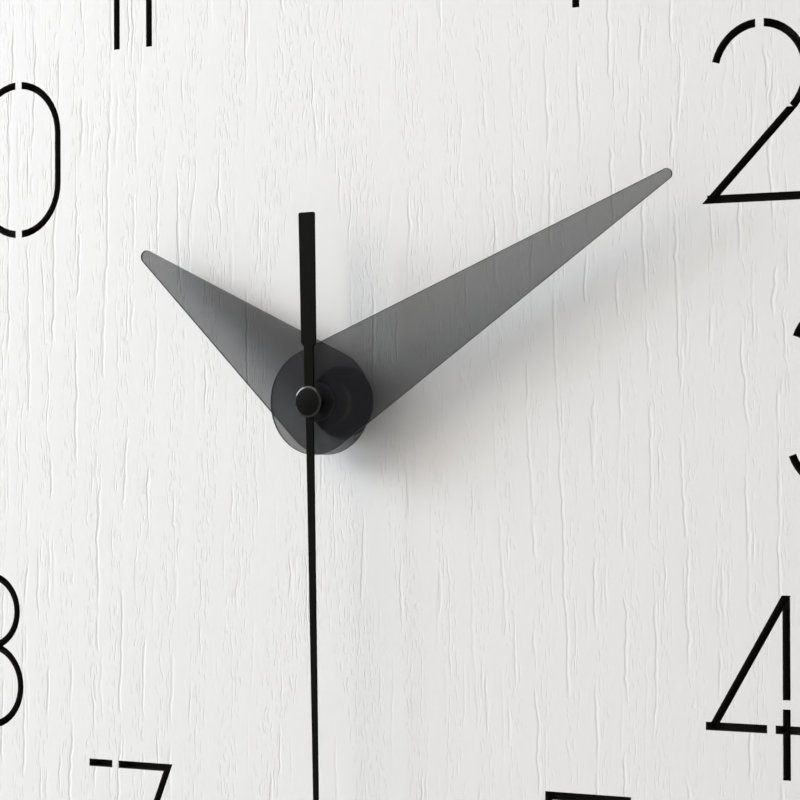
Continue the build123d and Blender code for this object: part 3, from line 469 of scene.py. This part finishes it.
@dataclass(frozen=True)
class Felt(Finish):
    """Pressed felt."""

    colour: Colour = (0.07, 0.07, 0.072)
    # How much paler the hair tips are painted, as a painted highlight.
    lit_tip_share: float = 2.4
    hair_mm: float = 0.25

    def paint(self, graph: Graph) -> dict[str, Value]:
        """Matted hairs of several lengths."""
        hair = graph.noise(graph.place(3.0, 3.0, 3.0), 4.0, 0.7, 1.5)
        # Painted highlight: the raised hair tips are paler in colour.
        lit_tips = shade(self.colour, self.lit_tip_share)
        return {
            "Base Color": graph.blend(hair.step(0.35, 0.75), self.colour, lit_tips),
            "Roughness": 0.95,
            "Sheen Weight": 0.4,
            "Normal": graph.relief(hair, self.hair_mm),
        }


class Lay(Enum):
    """Direction in which a metal was worked."""

    ALONG_X = (0.08, 5.0, 5.0)
    ALONG_Z = (5.0, 5.0, 0.08)
    EVEN = (2.2, 2.2, 2.2)


@dataclass(frozen=True)
class Metal(Finish):
    """Metal with the marks of its working."""

    colour: Colour = (0.6, 0.6, 0.6)
    rough: float = 0.3
    lay: Lay = Lay.EVEN
    mark_mm: float = 0.012
    dull_share: float = 0.72

    def paint(self, graph: Graph) -> dict[str, Value]:
        """Fine lines along the lay, and a thin haze."""
        line = graph.noise(graph.place(*self.lay.value), 3.0, 0.6)
        haze = graph.noise(graph.place(0.25, 0.25, 0.25), 3.0)
        dull = shade(self.colour, self.dull_share)
        return {
            "Base Color": graph.blend(haze.step(0.4, 0.8) * 0.6, self.colour, dull),
            "Metallic": 1.0,
            "Roughness": (line - 0.5) * 0.22 + haze * 0.16 + (self.rough - 0.08),
            "Normal": graph.relief(line, self.mark_mm),
        }


@dataclass(frozen=True)
class TurnedMetal(Finish):
    """Metal turned on a lathe about the hand axis."""

    colour: Colour = (0.72, 0.55, 0.24)
    rough: float = 0.28
    feed_mm: float = 0.16
    ring_mm: float = 0.006
    dull_share: float = 0.62

    def paint(self, graph: Graph) -> dict[str, Value]:
        """Tool rings on the faces, and a thin tarnish."""
        x, y, z = graph.axes()
        radius = (x * x + z * z) ** 0.5
        rings = ((radius + y * 0.5) * (FULL_TURN / self.feed_mm)).sine() * 0.5 + 0.5
        haze = graph.noise(graph.place(0.4, 0.4, 0.4), 3.0, 0.6)
        dull = shade(self.colour, self.dull_share)
        return {
            "Base Color": graph.blend(haze.step(0.45, 0.8) * 0.7, self.colour, dull),
            "Metallic": 1.0,
            "Roughness": haze * 0.2 + (self.rough - 0.06),
            "Normal": graph.relief(rings, self.ring_mm),
        }


@dataclass(frozen=True)
class Smoked(Finish):
    """Smoked clear sheet, one pass through each of its faces."""

    colour: Colour = (0.0122, 0.0123, 0.015)
    cover: float = 0.48
    rough: float = 0.06

    def paint(self, graph: Graph) -> dict[str, Value]:
        """Polished face that lets part of the light through."""
        return {
            "Base Color": self.colour,
            "Roughness": self.rough,
            "IOR": 1.49,
            "Specular IOR Level": 0.12,
            "Alpha": self.cover,
        }


@dataclass(frozen=True)
class SatinBlack(Finish):
    """Thin black coat on metal."""

    colour: Colour = (0.0035, 0.0035, 0.0032)
    grain_colour: Colour = (0.006, 0.006, 0.0055)
    rough: float = 0.34
    gloss: float = 0.035

    def paint(self, graph: Graph) -> dict[str, Value]:
        """Fine grain of the coat."""
        grain = graph.noise(graph.place(4.0, 4.0, 4.0), 3.0, 0.6)
        return {
            "Base Color": graph.blend(grain * 0.5, self.colour, self.grain_colour),
            "Roughness": (grain - 0.5) * 0.14 + self.rough,
            "Specular IOR Level": self.gloss,
            "Normal": graph.relief(grain, 0.004),
        }


@dataclass(frozen=True)
class PolishedRim(SatinBlack):
    """The same coat, polished from the shoulder outwards."""

    flat_radius: float = 2.78
    polish_width: float = 0.08
    polish: float = 0.16
    coat: float = 0.55
    coat_rough: float = 0.07

    def paint(self, graph: Graph) -> dict[str, Value]:
        """A clear coat that starts at the shoulder."""
        x, _, z = graph.axes()
        grain = graph.noise(graph.place(6.0, 6.0, 6.0), 2.0)
        rim = ((x * x + z * z) ** 0.5).step(self.flat_radius, self.flat_radius + self.polish_width)
        return {
            "Base Color": graph.blend(grain, self.colour, self.grain_colour),
            "Roughness": self.rough - rim * self.polish + grain * 0.04,
            "Specular IOR Level": self.gloss,
            "Coat Weight": rim * self.coat,
            "Coat Roughness": self.coat_rough,
            "Normal": graph.relief(grain, 0.003),
        }


@dataclass(frozen=True)
class Moulded(Finish):
    """Moulded plastic with the texture of its tool."""

    colour: Colour = (0.02, 0.02, 0.021)
    rough: float = 0.5
    grain_mm: float = 0.02
    grain_pitch: float = 0.3

    def paint(self, graph: Graph) -> dict[str, Value]:
        """Even pitted texture, a little glossier where it is worn."""
        rate = 1.0 / self.grain_pitch
        grain = graph.noise(graph.place(rate, rate, rate), 2.0, 0.6)
        cloud = graph.noise(graph.place(0.08, 0.08, 0.08), 3.0)
        pale = tuple(min(1.0, 1.25 * part + 0.004) for part in self.colour)
        return {
            "Base Color": graph.blend(cloud, self.colour, pale),
            "Roughness": cloud * 0.16 + (self.rough - 0.08),
            "Normal": graph.relief(grain, self.grain_mm),
        }


@dataclass(frozen=True)
class Laminated(Finish):
    """Blanked steel sheets, stacked along Y."""

    sheet_mm: float = 0.5

    def paint(self, graph: Graph) -> dict[str, Value]:
        """Edges of the sheets, and a blue scale on the faces."""
        _, depth, _ = graph.axes()
        stack = (depth * (FULL_TURN / self.sheet_mm)).sine() * 0.5 + 0.5
        scale = graph.noise(graph.place(0.5, 0.5, 0.5), 4.0, 0.6)
        return {
            "Base Color": graph.ramp(scale, (0.3, (0.30, 0.31, 0.35)), (0.7, (0.46, 0.45, 0.44))),
            "Metallic": 1.0,
            "Roughness": scale * 0.3 + 0.25,
            "Normal": graph.relief(stack, 0.05),
        }


@dataclass(frozen=True)
class Wound(Finish):
    """Enamelled wire in close turns around X."""

    wire_mm: float = 0.22

    def paint(self, graph: Graph) -> dict[str, Value]:
        """Rounded turns with painted shade as dark lines in the valleys between them."""
        x, y, _ = graph.axes()
        cross = graph.noise(graph.place(0.2, 0.6, 0.6), 1.0)
        crown = abs(((x + y * 0.05 + cross * 0.3) * (pi / self.wire_mm)).sine())
        return {
            # Painted shade: the colour darkens in the valleys between the turns.
            "Base Color": graph.ramp(crown, (0.1, (0.10, 0.026, 0.008)), (0.7, (0.52, 0.17, 0.055))),
            "Metallic": 0.85,
            "Roughness": 0.42 - crown * 0.14,
            "Normal": graph.relief(crown, 0.09),
        }


@dataclass(frozen=True)
class CircuitResin(Finish):
    """Solder mask over copper tracks."""

    def paint(self, graph: Graph) -> dict[str, Value]:
        """Tracks as raised paler bands, with bare pads."""
        cells = graph.node(
            "ShaderNodeTexVoronoi",
            {"feature": "DISTANCE_TO_EDGE", "distance": "MANHATTAN"},
            {"Vector": graph.place(0.42, 0.42, 0.42), "Scale": 1.0, "Randomness": 0.65},
        )
        track = cells.step(0.16, 0.11)
        spots = graph.node(
            "ShaderNodeTexVoronoi",
            {"feature": "F1"},
            {"Vector": graph.place(0.33, 0.0, 0.33), "Scale": 1.0, "Randomness": 0.35},
        )
        pad = spots.step(0.21, 0.17)
        mask = graph.blend(track, (0.012, 0.085, 0.035), (0.035, 0.19, 0.075))
        return {
            "Base Color": graph.blend(pad, mask, (0.62, 0.55, 0.40)),
            "Metallic": pad * 0.9,
            "Roughness": 0.32 - track * 0.06,
            "Normal": graph.relief(track.highest(pad), 0.04),
        }


@dataclass(frozen=True)
class CellSleeve(Finish):
    """Shrunk sleeve of a cell, bare of print, with bright ends."""

    left: float = -24.6
    right: float = 23.9
    band: float = -14.0
    line_gap: float = 1.2

    def paint(self, graph: Graph) -> dict[str, Value]:
        """Two plain colours with a fine line between, and metal past the sleeve."""
        x, _, _ = graph.axes()
        creep = graph.noise(graph.place(0.3, 0.3, 0.3), 2.0)
        bare = x.step(self.left, self.left - 0.15).highest(x.step(self.right, self.right + 0.15))
        pale = x.step(self.band + 0.05, self.band - 0.05)
        line = abs(x - self.band - self.line_gap).step(0.35, 0.25)
        sleeve = graph.blend(pale.highest(line), (0.028, 0.031, 0.038), (0.42, 0.43, 0.44))
        return {
            "Base Color": graph.blend(bare, sleeve, (0.63, 0.62, 0.6)),
            "Metallic": bare,
            "Roughness": creep * 0.14 + 0.2,
            "Coat Weight": 0.3 - bare * 0.3,
            "Normal": graph.relief(creep, 0.05),
        }


class Finishes:
    """Every finish on the clock, and the floor's."""

    FACE = GrainedPaint("white_grained_paint")
    RIM = PlainPaint("white_rim_paint")
    FLOOR = PaleFloor("pale_floor", (0.8, 0.8, 0.8), rough=0.7)
    CUT = CharredCut("charred_cut")
    BOARD = BlackFibre("black_fibreboard")
    PINE = PlanedPine("planed_pine")
    FELT = Felt("grey_felt")
    ZINC = Metal("zinc_plate", (0.62, 0.63, 0.66), rough=0.36, lay=Lay.ALONG_X, mark_mm=0.01)
    NICKEL = Metal("nickel_strip", (0.66, 0.63, 0.58), rough=0.24, lay=Lay.ALONG_Z, mark_mm=0.008)
    STEEL = Metal("bright_steel", (0.56, 0.57, 0.58), rough=0.2, lay=Lay.EVEN, mark_mm=0.004)
    BRASS = TurnedMetal("turned_brass")
    SMOKE = Smoked("smoked_sheet")
    # Painted shade: a darker, denser copy of the smoked sheet for the hands' edge walls.
    SMOKE_EDGE_SHADE = Smoked("smoked_edge_painted_shade", (0.006, 0.006, 0.0065), cover=0.93, rough=0.18)
    BLACK = SatinBlack("satin_black")
    CAP = PolishedRim("polished_rim")
    BUSH = Moulded("bush_plastic", (0.075, 0.075, 0.078), rough=0.5, grain_mm=0.006, grain_pitch=0.5)
    BLACKENED = Metal("black_oxide", (0.03, 0.03, 0.031), rough=0.42, lay=Lay.EVEN, mark_mm=0.006)
    CASE = Moulded("case_plastic", (0.017, 0.017, 0.018), rough=0.52, grain_mm=0.025, grain_pitch=0.35)
    GEAR = Moulded("natural_acetal", (0.78, 0.76, 0.70), rough=0.38, grain_mm=0.006, grain_pitch=0.5)
    DARK_GEAR = Moulded("dark_acetal", (0.075, 0.082, 0.095), rough=0.36, grain_mm=0.006, grain_pitch=0.5)
    RUBBER = Moulded("black_rubber", (0.013, 0.013, 0.013), rough=0.78, grain_mm=0.03, grain_pitch=0.2)
    FERRITE = Moulded("sintered_ferrite", (0.035, 0.034, 0.036), rough=0.6, grain_mm=0.03, grain_pitch=0.15)
    RESIN = Moulded("potting_resin", (0.009, 0.009, 0.0095), rough=0.2, grain_mm=0.02, grain_pitch=2.0)
    LAMINATION = Laminated("laminated_steel")
    WIRE = Wound("enamelled_wire")
    CIRCUIT = CircuitResin("circuit_resin")
    CELL = CellSleeve("shrunk_sleeve")


def cover(node: str, finish: Finish) -> None:
    """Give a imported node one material.

    Args:
        node: Name of the node.
        finish: Its finish.
    """
    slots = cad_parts[node].data.materials
    slots.clear()
    slots.append(finish.material())
    log.info("%s wears %s", node, finish.name)


def place_mesh(mesh: bmesh.types.BMesh, name: str, finishes: Iterable[Finish]) -> bpy.types.Object:
    """Turn a bmesh into a shaded object at the origin.

    Args:
        mesh: The shape, which is freed.
        name: Name of the object.
        finishes: Finishes in the order of the faces' slots.

    Returns:
        The object, linked to the scene.
    """
    data = bpy.data.meshes.new(name)
    mesh.to_mesh(data)
    mesh.free()
    data.shade_smooth()
    data.set_sharp_from_angle(angle=radians(CREASE_DEGREES))
    for finish in finishes:
        data.materials.append(finish.material())
    piece = bpy.data.objects.new(name, data)
    bpy.context.scene.collection.objects.link(piece)
    even = piece.modifiers.new("even_normals", "WEIGHTED_NORMAL")
    even.keep_sharp = True
    return piece


def stand_for(piece: bpy.types.Object, node: str, body: str) -> None:
    """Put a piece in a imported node's place.

    Args:
        piece: The new piece.
        node: Node that it replaces.
        body: Body that carries it.
    """
    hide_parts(node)
    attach(piece, body)
    log.info("%s stands for %s with %d faces", piece.name, node, len(piece.data.polygons))


@dataclass
class Rounded:
    """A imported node's shape with its sharp edges broken, which stands for the node."""

    node: str
    body: str
    slot: str
    finishes: tuple[Finish, ...]
    radius_mm: float
    segments: int = 2
    sharp_degrees: float = 30.0
    wall_reach: float = 1e3
    wall_tilt: float = 0.5
    flat_degrees: float = 0.4

    def _walls(self, mesh: bmesh.types.BMesh) -> None:
        """Give the walls between the front and the back the second finish.

        Args:
            mesh: The merged copy.
        """
        for face in mesh.faces:
            middle = face.calc_center_median()
            near = Vector((middle.x, middle.z)).length < self.wall_reach * MM
            face.material_index = int(abs(face.normal.y) < self.wall_tilt and near)

    def build(self) -> None:
        """Merge a copy of the node's mesh, break its edges and put it in the node's place."""
        mesh = bmesh.new()
        mesh.from_mesh(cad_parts[self.node].data)
        bmesh.ops.remove_doubles(mesh, verts=mesh.verts, dist=MERGE_GAP)
        bmesh.ops.dissolve_limit(
            mesh,
            angle_limit=radians(self.flat_degrees),
            verts=mesh.verts,
            edges=mesh.edges,
            delimit={"NORMAL"},
        )
        if len(self.finishes) > 1:
            self._walls(mesh)
        sharp = [
            edge
            for edge in mesh.edges
            if edge.is_manifold and edge.calc_face_angle() > radians(self.sharp_degrees)
        ]
        bmesh.ops.bevel(
            mesh,
            geom=sharp,
            offset=self.radius_mm * MM,
            offset_type="OFFSET",
            affect="EDGES",
            segments=self.segments,
            profile=0.5,
            material=-1,
            clamp_overlap=True,
        )
        piece = place_mesh(mesh, f"{self.node}_shape", self.finishes)
        stand_for(piece, self.node, self.body)


@dataclass
class DialBody:
    """Panel, board, ring, pads and hanger: what stays on the wall."""

    body: str = "clock_body"
    cut_reach: float = 148.0

    def build(self) -> None:
        """Make the pieces whose edges are broken."""
        Rounded(
            "front_panel",
            self.body,
            "white_wood",
            (Finishes.FACE, Finishes.CUT),
            radius_mm=0.08,
            segments=1,
            wall_reach=self.cut_reach,
        ).build()
        Rounded("frame_ring", self.body, "frame_wood", (Finishes.RIM,), radius_mm=0.5, segments=3).build()
        Rounded("wall_pads", self.body, "felt", (Finishes.FELT,), radius_mm=0.4, segments=3).build()
        Rounded("hanger_block", self.body, "raw_wood", (Finishes.PINE,), radius_mm=0.4).build()
        Rounded("keyhole_plate", self.body, "zinc_steel", (Finishes.ZINC,), radius_mm=0.15).build()

    def dress(self) -> None:
        """Finish the nodes that keep their shape."""
        cover("backing_board", Finishes.BOARD)
        cover("plate_screws", Finishes.STEEL)


@dataclass
class TurnedCap:
    """Cap of the second hand, turned with a sloped shoulder that catches the light."""

    node: str = "second_hand_cap"
    body: str = "second_body"
    slot: str = "black_metal"
    shoulder_start: float = 2.8
    shoulder_width: float = 0.38
    first_slope: float = 0.3
    last_slope: float = 0.5
    edge_drop: float = 0.25
    shoulder_steps: int = 5
    edge_steps: int = 4
    sides: int = 96

    def _profile(self, radius: float, height: float) -> list[tuple[float, float]]:
        """Half section of the cap, from the middle of its top to the middle of its foot.

        Args:
            radius: Outer radius in millimetres.
            height: Height of the top above the foot.

        Returns:
            Distances from the axis and heights above the foot.
        """
        points = [(0.0, height), (self.shoulder_start, height)]
        steepening = (self.last_slope - self.first_slope) / self.shoulder_width / 2.0
        for step in range(1, self.shoulder_steps + 1):
            out = self.shoulder_width * step / self.shoulder_steps
            fall = self.first_slope * out + steepening * out * out
            points.append((self.shoulder_start + out, height - fall))
        start, level = points[-1]
        for step in range(1, self.edge_steps + 1):
            turn = QUARTER_TURN * step / self.edge_steps
            out = (radius - start) * sin(turn)
            points.append((start + out, level - self.edge_drop * (1.0 - cos(turn))))
        return points + [(radius, 0.0), (0.0, 0.0)]

    def build(self) -> None:
        """Spin the section about the hand axis and put the cap in its node's place."""
        low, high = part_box(self.node)
        section = self._profile(high[0] / MM, (high[1] - low[1]) / MM)
        mesh = bmesh.new()
        verts = [mesh.verts.new((out * MM, high[1] - up * MM, 0.0)) for out, up in section]
        edges = [mesh.edges.new(pair) for pair in zip(verts, verts[1:])]
        bmesh.ops.spin(
            mesh,
            geom=verts + edges,
            cent=(0.0, 0.0, 0.0),
            axis=(0.0, 1.0, 0.0),
            angle=FULL_TURN,
            steps=self.sides,
            use_merge=True,
        )
        bmesh.ops.remove_doubles(mesh, verts=mesh.verts, dist=MERGE_GAP)
        bmesh.ops.recalc_face_normals(mesh, faces=mesh.faces)
        cap = place_mesh(mesh, f"{self.node}_shape", (Finishes.CAP,))
        stand_for(cap, self.node, self.body)


@dataclass
class Hands:
    """Hour, minute and second hand with their bushes and cap."""

    def build(self) -> None:
        """Make the hands with polished edges."""
        # The edge walls of the smoked hands wear the painted-shade copy of the sheet.
        smoked = (Finishes.SMOKE, Finishes.SMOKE_EDGE_SHADE)
        Rounded("hour_hand", "hour_body", "smoked_acrylic", smoked, radius_mm=0.08).build()
        Rounded("minute_hand", "minute_body", "smoked_acrylic", smoked, radius_mm=0.08).build()
        Rounded("second_hand", "second_body", "black_metal", (Finishes.BLACK,), radius_mm=0.12).build()
        TurnedCap().build()

    def dress(self) -> None:
        """Finish the bushes and the collet."""
        for node in ("hour_hand_bush", "minute_hand_bush", "second_hand_collet"):
            cover(node, Finishes.BUSH)


@dataclass
class MovementHousing:
    """Case, cover, knob and the clamping nut of the movement."""

    body: str = "clock_body"

    def build(self) -> None:
        """Make the moulded shells and the nut with broken edges."""
        Rounded("movement_case", self.body, "black_plastic", (Finishes.CASE,), radius_mm=0.25).build()
        Rounded("back_cover", self.body, "black_plastic", (Finishes.CASE,), radius_mm=0.2).build()
        Rounded("setting_knob", "setting_body", "black_plastic", (Finishes.CASE,), radius_mm=0.12).build()
        Rounded("hex_nut", self.body, "blackened_steel", (Finishes.BLACKENED,), radius_mm=0.25).build()
        Rounded(
            "battery_cell",
            self.body,
            "cell_sleeve",
            (Finishes.CELL,),
            radius_mm=0.1,
            sharp_degrees=40.0,
        ).build()

    def dress(self) -> None:
        """Finish the clamping pieces."""
        cover("threaded_bushing", Finishes.BRASS)
        cover("nut_washer", Finishes.BLACKENED)
        cover("rubber_washer", Finishes.RUBBER)
        cover("positive_contact", Finishes.NICKEL)
        cover("negative_contact", Finishes.NICKEL)


def spoke(degrees: float) -> Vector:
    """Direction in the plane of the dial, turned from +X towards +Z."""
    return Vector((cos(radians(degrees)), 0.0, sin(radians(degrees))))


@dataclass
class CoverMarks:
    """Marks raised from the back cover: turning arrows, cell signs and rings of the mould's pins."""

    body: str = "clock_body"
    plane: float = -5.5
    rise: float = 0.25
    stroke: float = 0.7
    knob: tuple[float, float] = (16.95, 6.17)
    arrow_radius: float = 7.8
    arrow_starts: tuple[float, ...] = (35.0, 215.0)
    arrow_sweep: float = 85.0
    head_radius: float = 1.3
    sign_span: float = 3.2
    signs_height: float = -9.4
    signs_reach: float = 21.5
    pins: tuple[tuple[float, float], ...] = ((-23.0, 23.0), (23.0, 23.0), (-23.0, -2.0))
    pin_radius: float = 1.8
    pin_stroke: float = 0.3
    step_degrees: float = 7.5
    least_steps: int = 8

    def _bar(self, mesh: bmesh.types.BMesh, x: float, z: float, width: float, height: float) -> None:
        """Add an upright block that sinks a little into the cover.

        Args:
            mesh: Receives the block.
            x: Middle across, in millimetres.
            z: Middle in height.
            width: Size along X.
            height: Size along Z.
        """
        size = Matrix.Diagonal((width * MM, 2.0 * self.rise * MM, height * MM, 1.0))
        middle = Matrix.Translation(Vector((x, self.plane, z)) * MM)
        bmesh.ops.create_cube(mesh, size=1.0, matrix=middle @ size)

    def _arc(
        self,
        mesh: bmesh.types.BMesh,
        middle: tuple[float, float],
        radius: float,
        stroke: float,
        start: float,
        sweep: float,
    ) -> None:
        """Add a bent bar.

        Args:
            mesh: Receives the bar.
            middle: Centre across and in height, in millimetres.
            radius: Radius of its middle line.
            stroke: Its width.
            start: Angle of its first end in degrees.
            sweep: Degrees that it turns; 360 closes it to a ring.
        """
        centre = Vector((middle[0], self.plane, middle[1])) * MM
        out = spoke(start)
        corners = []
        for side, level in ((-1, -1), (1, -1), (1, 1), (-1, 1)):
            across = out * (radius + side * stroke / 2.0) * MM
            corners.append(centre + across + Vector((0.0, level * self.rise * MM, 0.0)))
        profile = mesh.faces.new([mesh.verts.new(corner) for corner in corners])
        closed = sweep >= 360.0
        edges = list(profile.edges)
        geom = list(profile.verts) + edges + ([] if closed else [profile])
        if closed:
            bmesh.ops.delete(mesh, geom=[profile], context="FACES_ONLY")
        bmesh.ops.spin(
            mesh,
            geom=geom,
            cent=centre,
            axis=(0.0, -1.0, 0.0),
            angle=radians(sweep),
            steps=max(self.least_steps, int(sweep / self.step_degrees)),
            use_merge=closed,
        )

    def _head(self, mesh: bmesh.types.BMesh, angle: float) -> None:
        """Add the head of a turning arrow.

        Args:
            mesh: Receives the head.
            angle: Where the arc ends, in degrees.
        """
        out = spoke(angle)
        along = Vector((-out.z, 0.0, out.x))
        deep = Vector((0.0, 1.0, 0.0))
        foot = Vector((self.knob[0], self.plane, self.knob[1])) + out * self.arrow_radius
        middle = foot + along * self.head_radius / 2.0
        turn = Matrix((along.cross(deep), along, deep)).transposed().to_4x4()
        bmesh.ops.create_cone(
            mesh,
            cap_ends=True,
            segments=3,
            radius1=self.head_radius * MM,
            radius2=self.head_radius * MM,
            depth=2.0 * self.rise * MM,
            matrix=Matrix.Translation(middle * MM) @ turn,
        )

    def build(self) -> None:
        """Make all the marks as one moulded piece."""
        mesh = bmesh.new()
        for start in self.arrow_starts:
            self._arc(mesh, self.knob, self.arrow_radius, self.stroke, start, self.arrow_sweep)
            self._head(mesh, start + self.arrow_sweep)
        for side in (-1.0, 1.0):
            self._bar(mesh, side * self.signs_reach, self.signs_height, self.sign_span, self.stroke)
        arm = (self.sign_span - self.stroke) / 2.0
        for side in (-1.0, 1.0):
            middle = self.signs_height + side * (self.stroke + arm) / 2.0
            self._bar(mesh, -self.signs_reach, middle, self.stroke, arm)
        for pin in self.pins:
            self._arc(mesh, pin, self.pin_radius, self.pin_stroke, 0.0, 360.0)
        bmesh.ops.recalc_face_normals(mesh, faces=mesh.faces)
        marks = place_mesh(mesh, "cover_marks", (Finishes.CASE,))
        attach(marks, self.body)
        log.info("%s with %d faces", marks.name, len(marks.data.polygons))


@dataclass
class Works:
    """Gear train, stepping motor and circuit inside the case."""

    finishes: dict[str, Finish] = field(
        default_factory=lambda: {
            "train_bridge": Finishes.GEAR,
            "bridge_screws": Finishes.STEEL,
            "hour_wheel": Finishes.DARK_GEAR,
            "cannon_pinion": Finishes.BRASS,
            "centre_wheel": Finishes.GEAR,
            "motion_wheel": Finishes.DARK_GEAR,
            "third_wheel": Finishes.GEAR,
            "seconds_wheel": Finishes.GEAR,
            "second_shaft": Finishes.STEEL,
            "intermediate_wheel": Finishes.GEAR,
            "rotor_pinion": Finishes.GEAR,
            "rotor_magnet": Finishes.FERRITE,
            "stator": Finishes.LAMINATION,
            "coil_core": Finishes.LAMINATION,
            "coil_bobbin": Finishes.GEAR,
            "coil_winding": Finishes.WIRE,
            "circuit_board": Finishes.CIRCUIT,
            "control_chip": Finishes.RESIN,
            "quartz_can": Finishes.STEEL,
            "setting_pinion": Finishes.DARK_GEAR,
        }
    )

    def dress(self) -> None:
        """Finish every piece of the works."""
        for node, finish in self.finishes.items():
            cover(node, finish)


@dataclass(frozen=True)
class Lamp:
    """A rectangular lamp that faces the clock, with its place and size in metres and its power in watts."""

    name: str
    place: Point
    size: tuple[float, float]
    power: float
    colour: Colour

    def hang(self) -> None:
        """Add the lamp to the scene."""
        data = bpy.data.lights.new(self.name, "AREA")
        data.shape = "RECTANGLE"
        data.size, data.size_y = self.size
        data.energy = self.power
        data.color = self.colour
        lamp = bpy.data.objects.new(self.name, data)
        aim = (-Vector(self.place)).to_track_quat("-Z", "Y").to_matrix().to_4x4()
        lamp.matrix_world = Matrix.Translation(self.place) @ aim
        bpy.context.scene.collection.objects.link(lamp)


@dataclass
class Studio:
    """Camera, lamps, floor and room: a cool window on the left, a broad warm lamp in front, one behind."""

    lamps: ClassVar[tuple[Lamp, ...]] = (
        Lamp("window", (-1.25, -0.61, 0.56), (0.8, 0.55), power=17.8, colour=(0.82, 0.912, 1.0)),
        Lamp("upper_lamp", (-0.65, -1.15, 0.66), (1.15, 1.0), power=9.3, colour=(1.0, 0.945, 0.89)),
        Lamp("rear_lamp", (0.9, 1.0, 0.9), (0.8, 0.8), power=6.4, colour=(1.0, 0.99, 0.97)),
    )
    eye: Point = (0.332015, -0.53483, -0.006569)
    yaw: float = 32.16
    pitch: float = 0.662
    roll: float = -0.186
    lens: float = 130.911
    clip_start: float = 0.01
    floor_height: float = -0.168
    floor_reach: float = 3.0
    room_light: float = 0.13
    room_tint: Colour = (1.0, 0.8, 0.6)

    def camera(self) -> None:
        """Set the camera where the photograph was taken."""
        yaw, pitch, roll = radians(self.yaw), radians(self.pitch), radians(self.roll)
        ahead = Vector((-sin(yaw) * cos(pitch), cos(yaw) * cos(pitch), sin(pitch)))
        level = ahead.cross(Vector((0.0, 0.0, 1.0))).normalized()
        rise = level.cross(ahead)
        right = level * cos(roll) + rise * sin(roll)
        up = rise * cos(roll) - level * sin(roll)
        data = bpy.data.cameras.new("camera")
        data.lens = self.lens
        data.clip_start = self.clip_start
        view = bpy.data.objects.new("camera", data)
        turn = Matrix((right, up, -ahead)).transposed().to_4x4()
        view.matrix_world = Matrix.Translation(self.eye) @ turn
        bpy.context.scene.collection.objects.link(view)
        bpy.context.scene.camera = view

    def room(self) -> None:
        """White to the eye and in reflections, soft light elsewhere."""
        world = bpy.data.worlds.new("pale_room")
        world.use_nodes = True
        graph = Graph(world.node_tree)
        light = {"Color": self.room_tint, "Strength": self.room_light}
        soft = graph.node("ShaderNodeBackground", inputs=light)
        white = graph.node("ShaderNodeBackground", inputs={"Color": (1.0, 1.0, 1.0), "Strength": 1.0})
        mixed = graph.node("ShaderNodeMixShader", inputs={0: graph.seen(), 1: soft, 2: white})
        graph.node("ShaderNodeOutputWorld", inputs={"Surface": mixed})
        bpy.context.scene.world = world

    def floor(self) -> None:
        """Lay a plain pale floor below the clock."""
        mesh = bmesh.new()
        bmesh.ops.create_grid(mesh, x_segments=1, y_segments=1, size=self.floor_reach)
        bmesh.ops.translate(mesh, verts=mesh.verts, vec=(0.0, 0.0, self.floor_height))
        place_mesh(mesh, "floor", (Finishes.FLOOR,))

    def build(self) -> None:
        """Set up the whole studio."""
        self.camera()
        for lamp in self.lamps:
            lamp.hang()
        self.room()
        self.floor()
        bpy.context.scene.view_settings.view_transform = "Standard"


def main() -> None:
    """Build and dress the sub-assemblies in order."""
    logging.basicConfig(level=logging.INFO, format="%(message)s")
    for part in (DialBody(), Hands(), MovementHousing()):
        part.build()
        part.dress()
    CoverMarks().build()
    Works().dress()
    Studio().build()


if __name__ == "__main__":
    main()
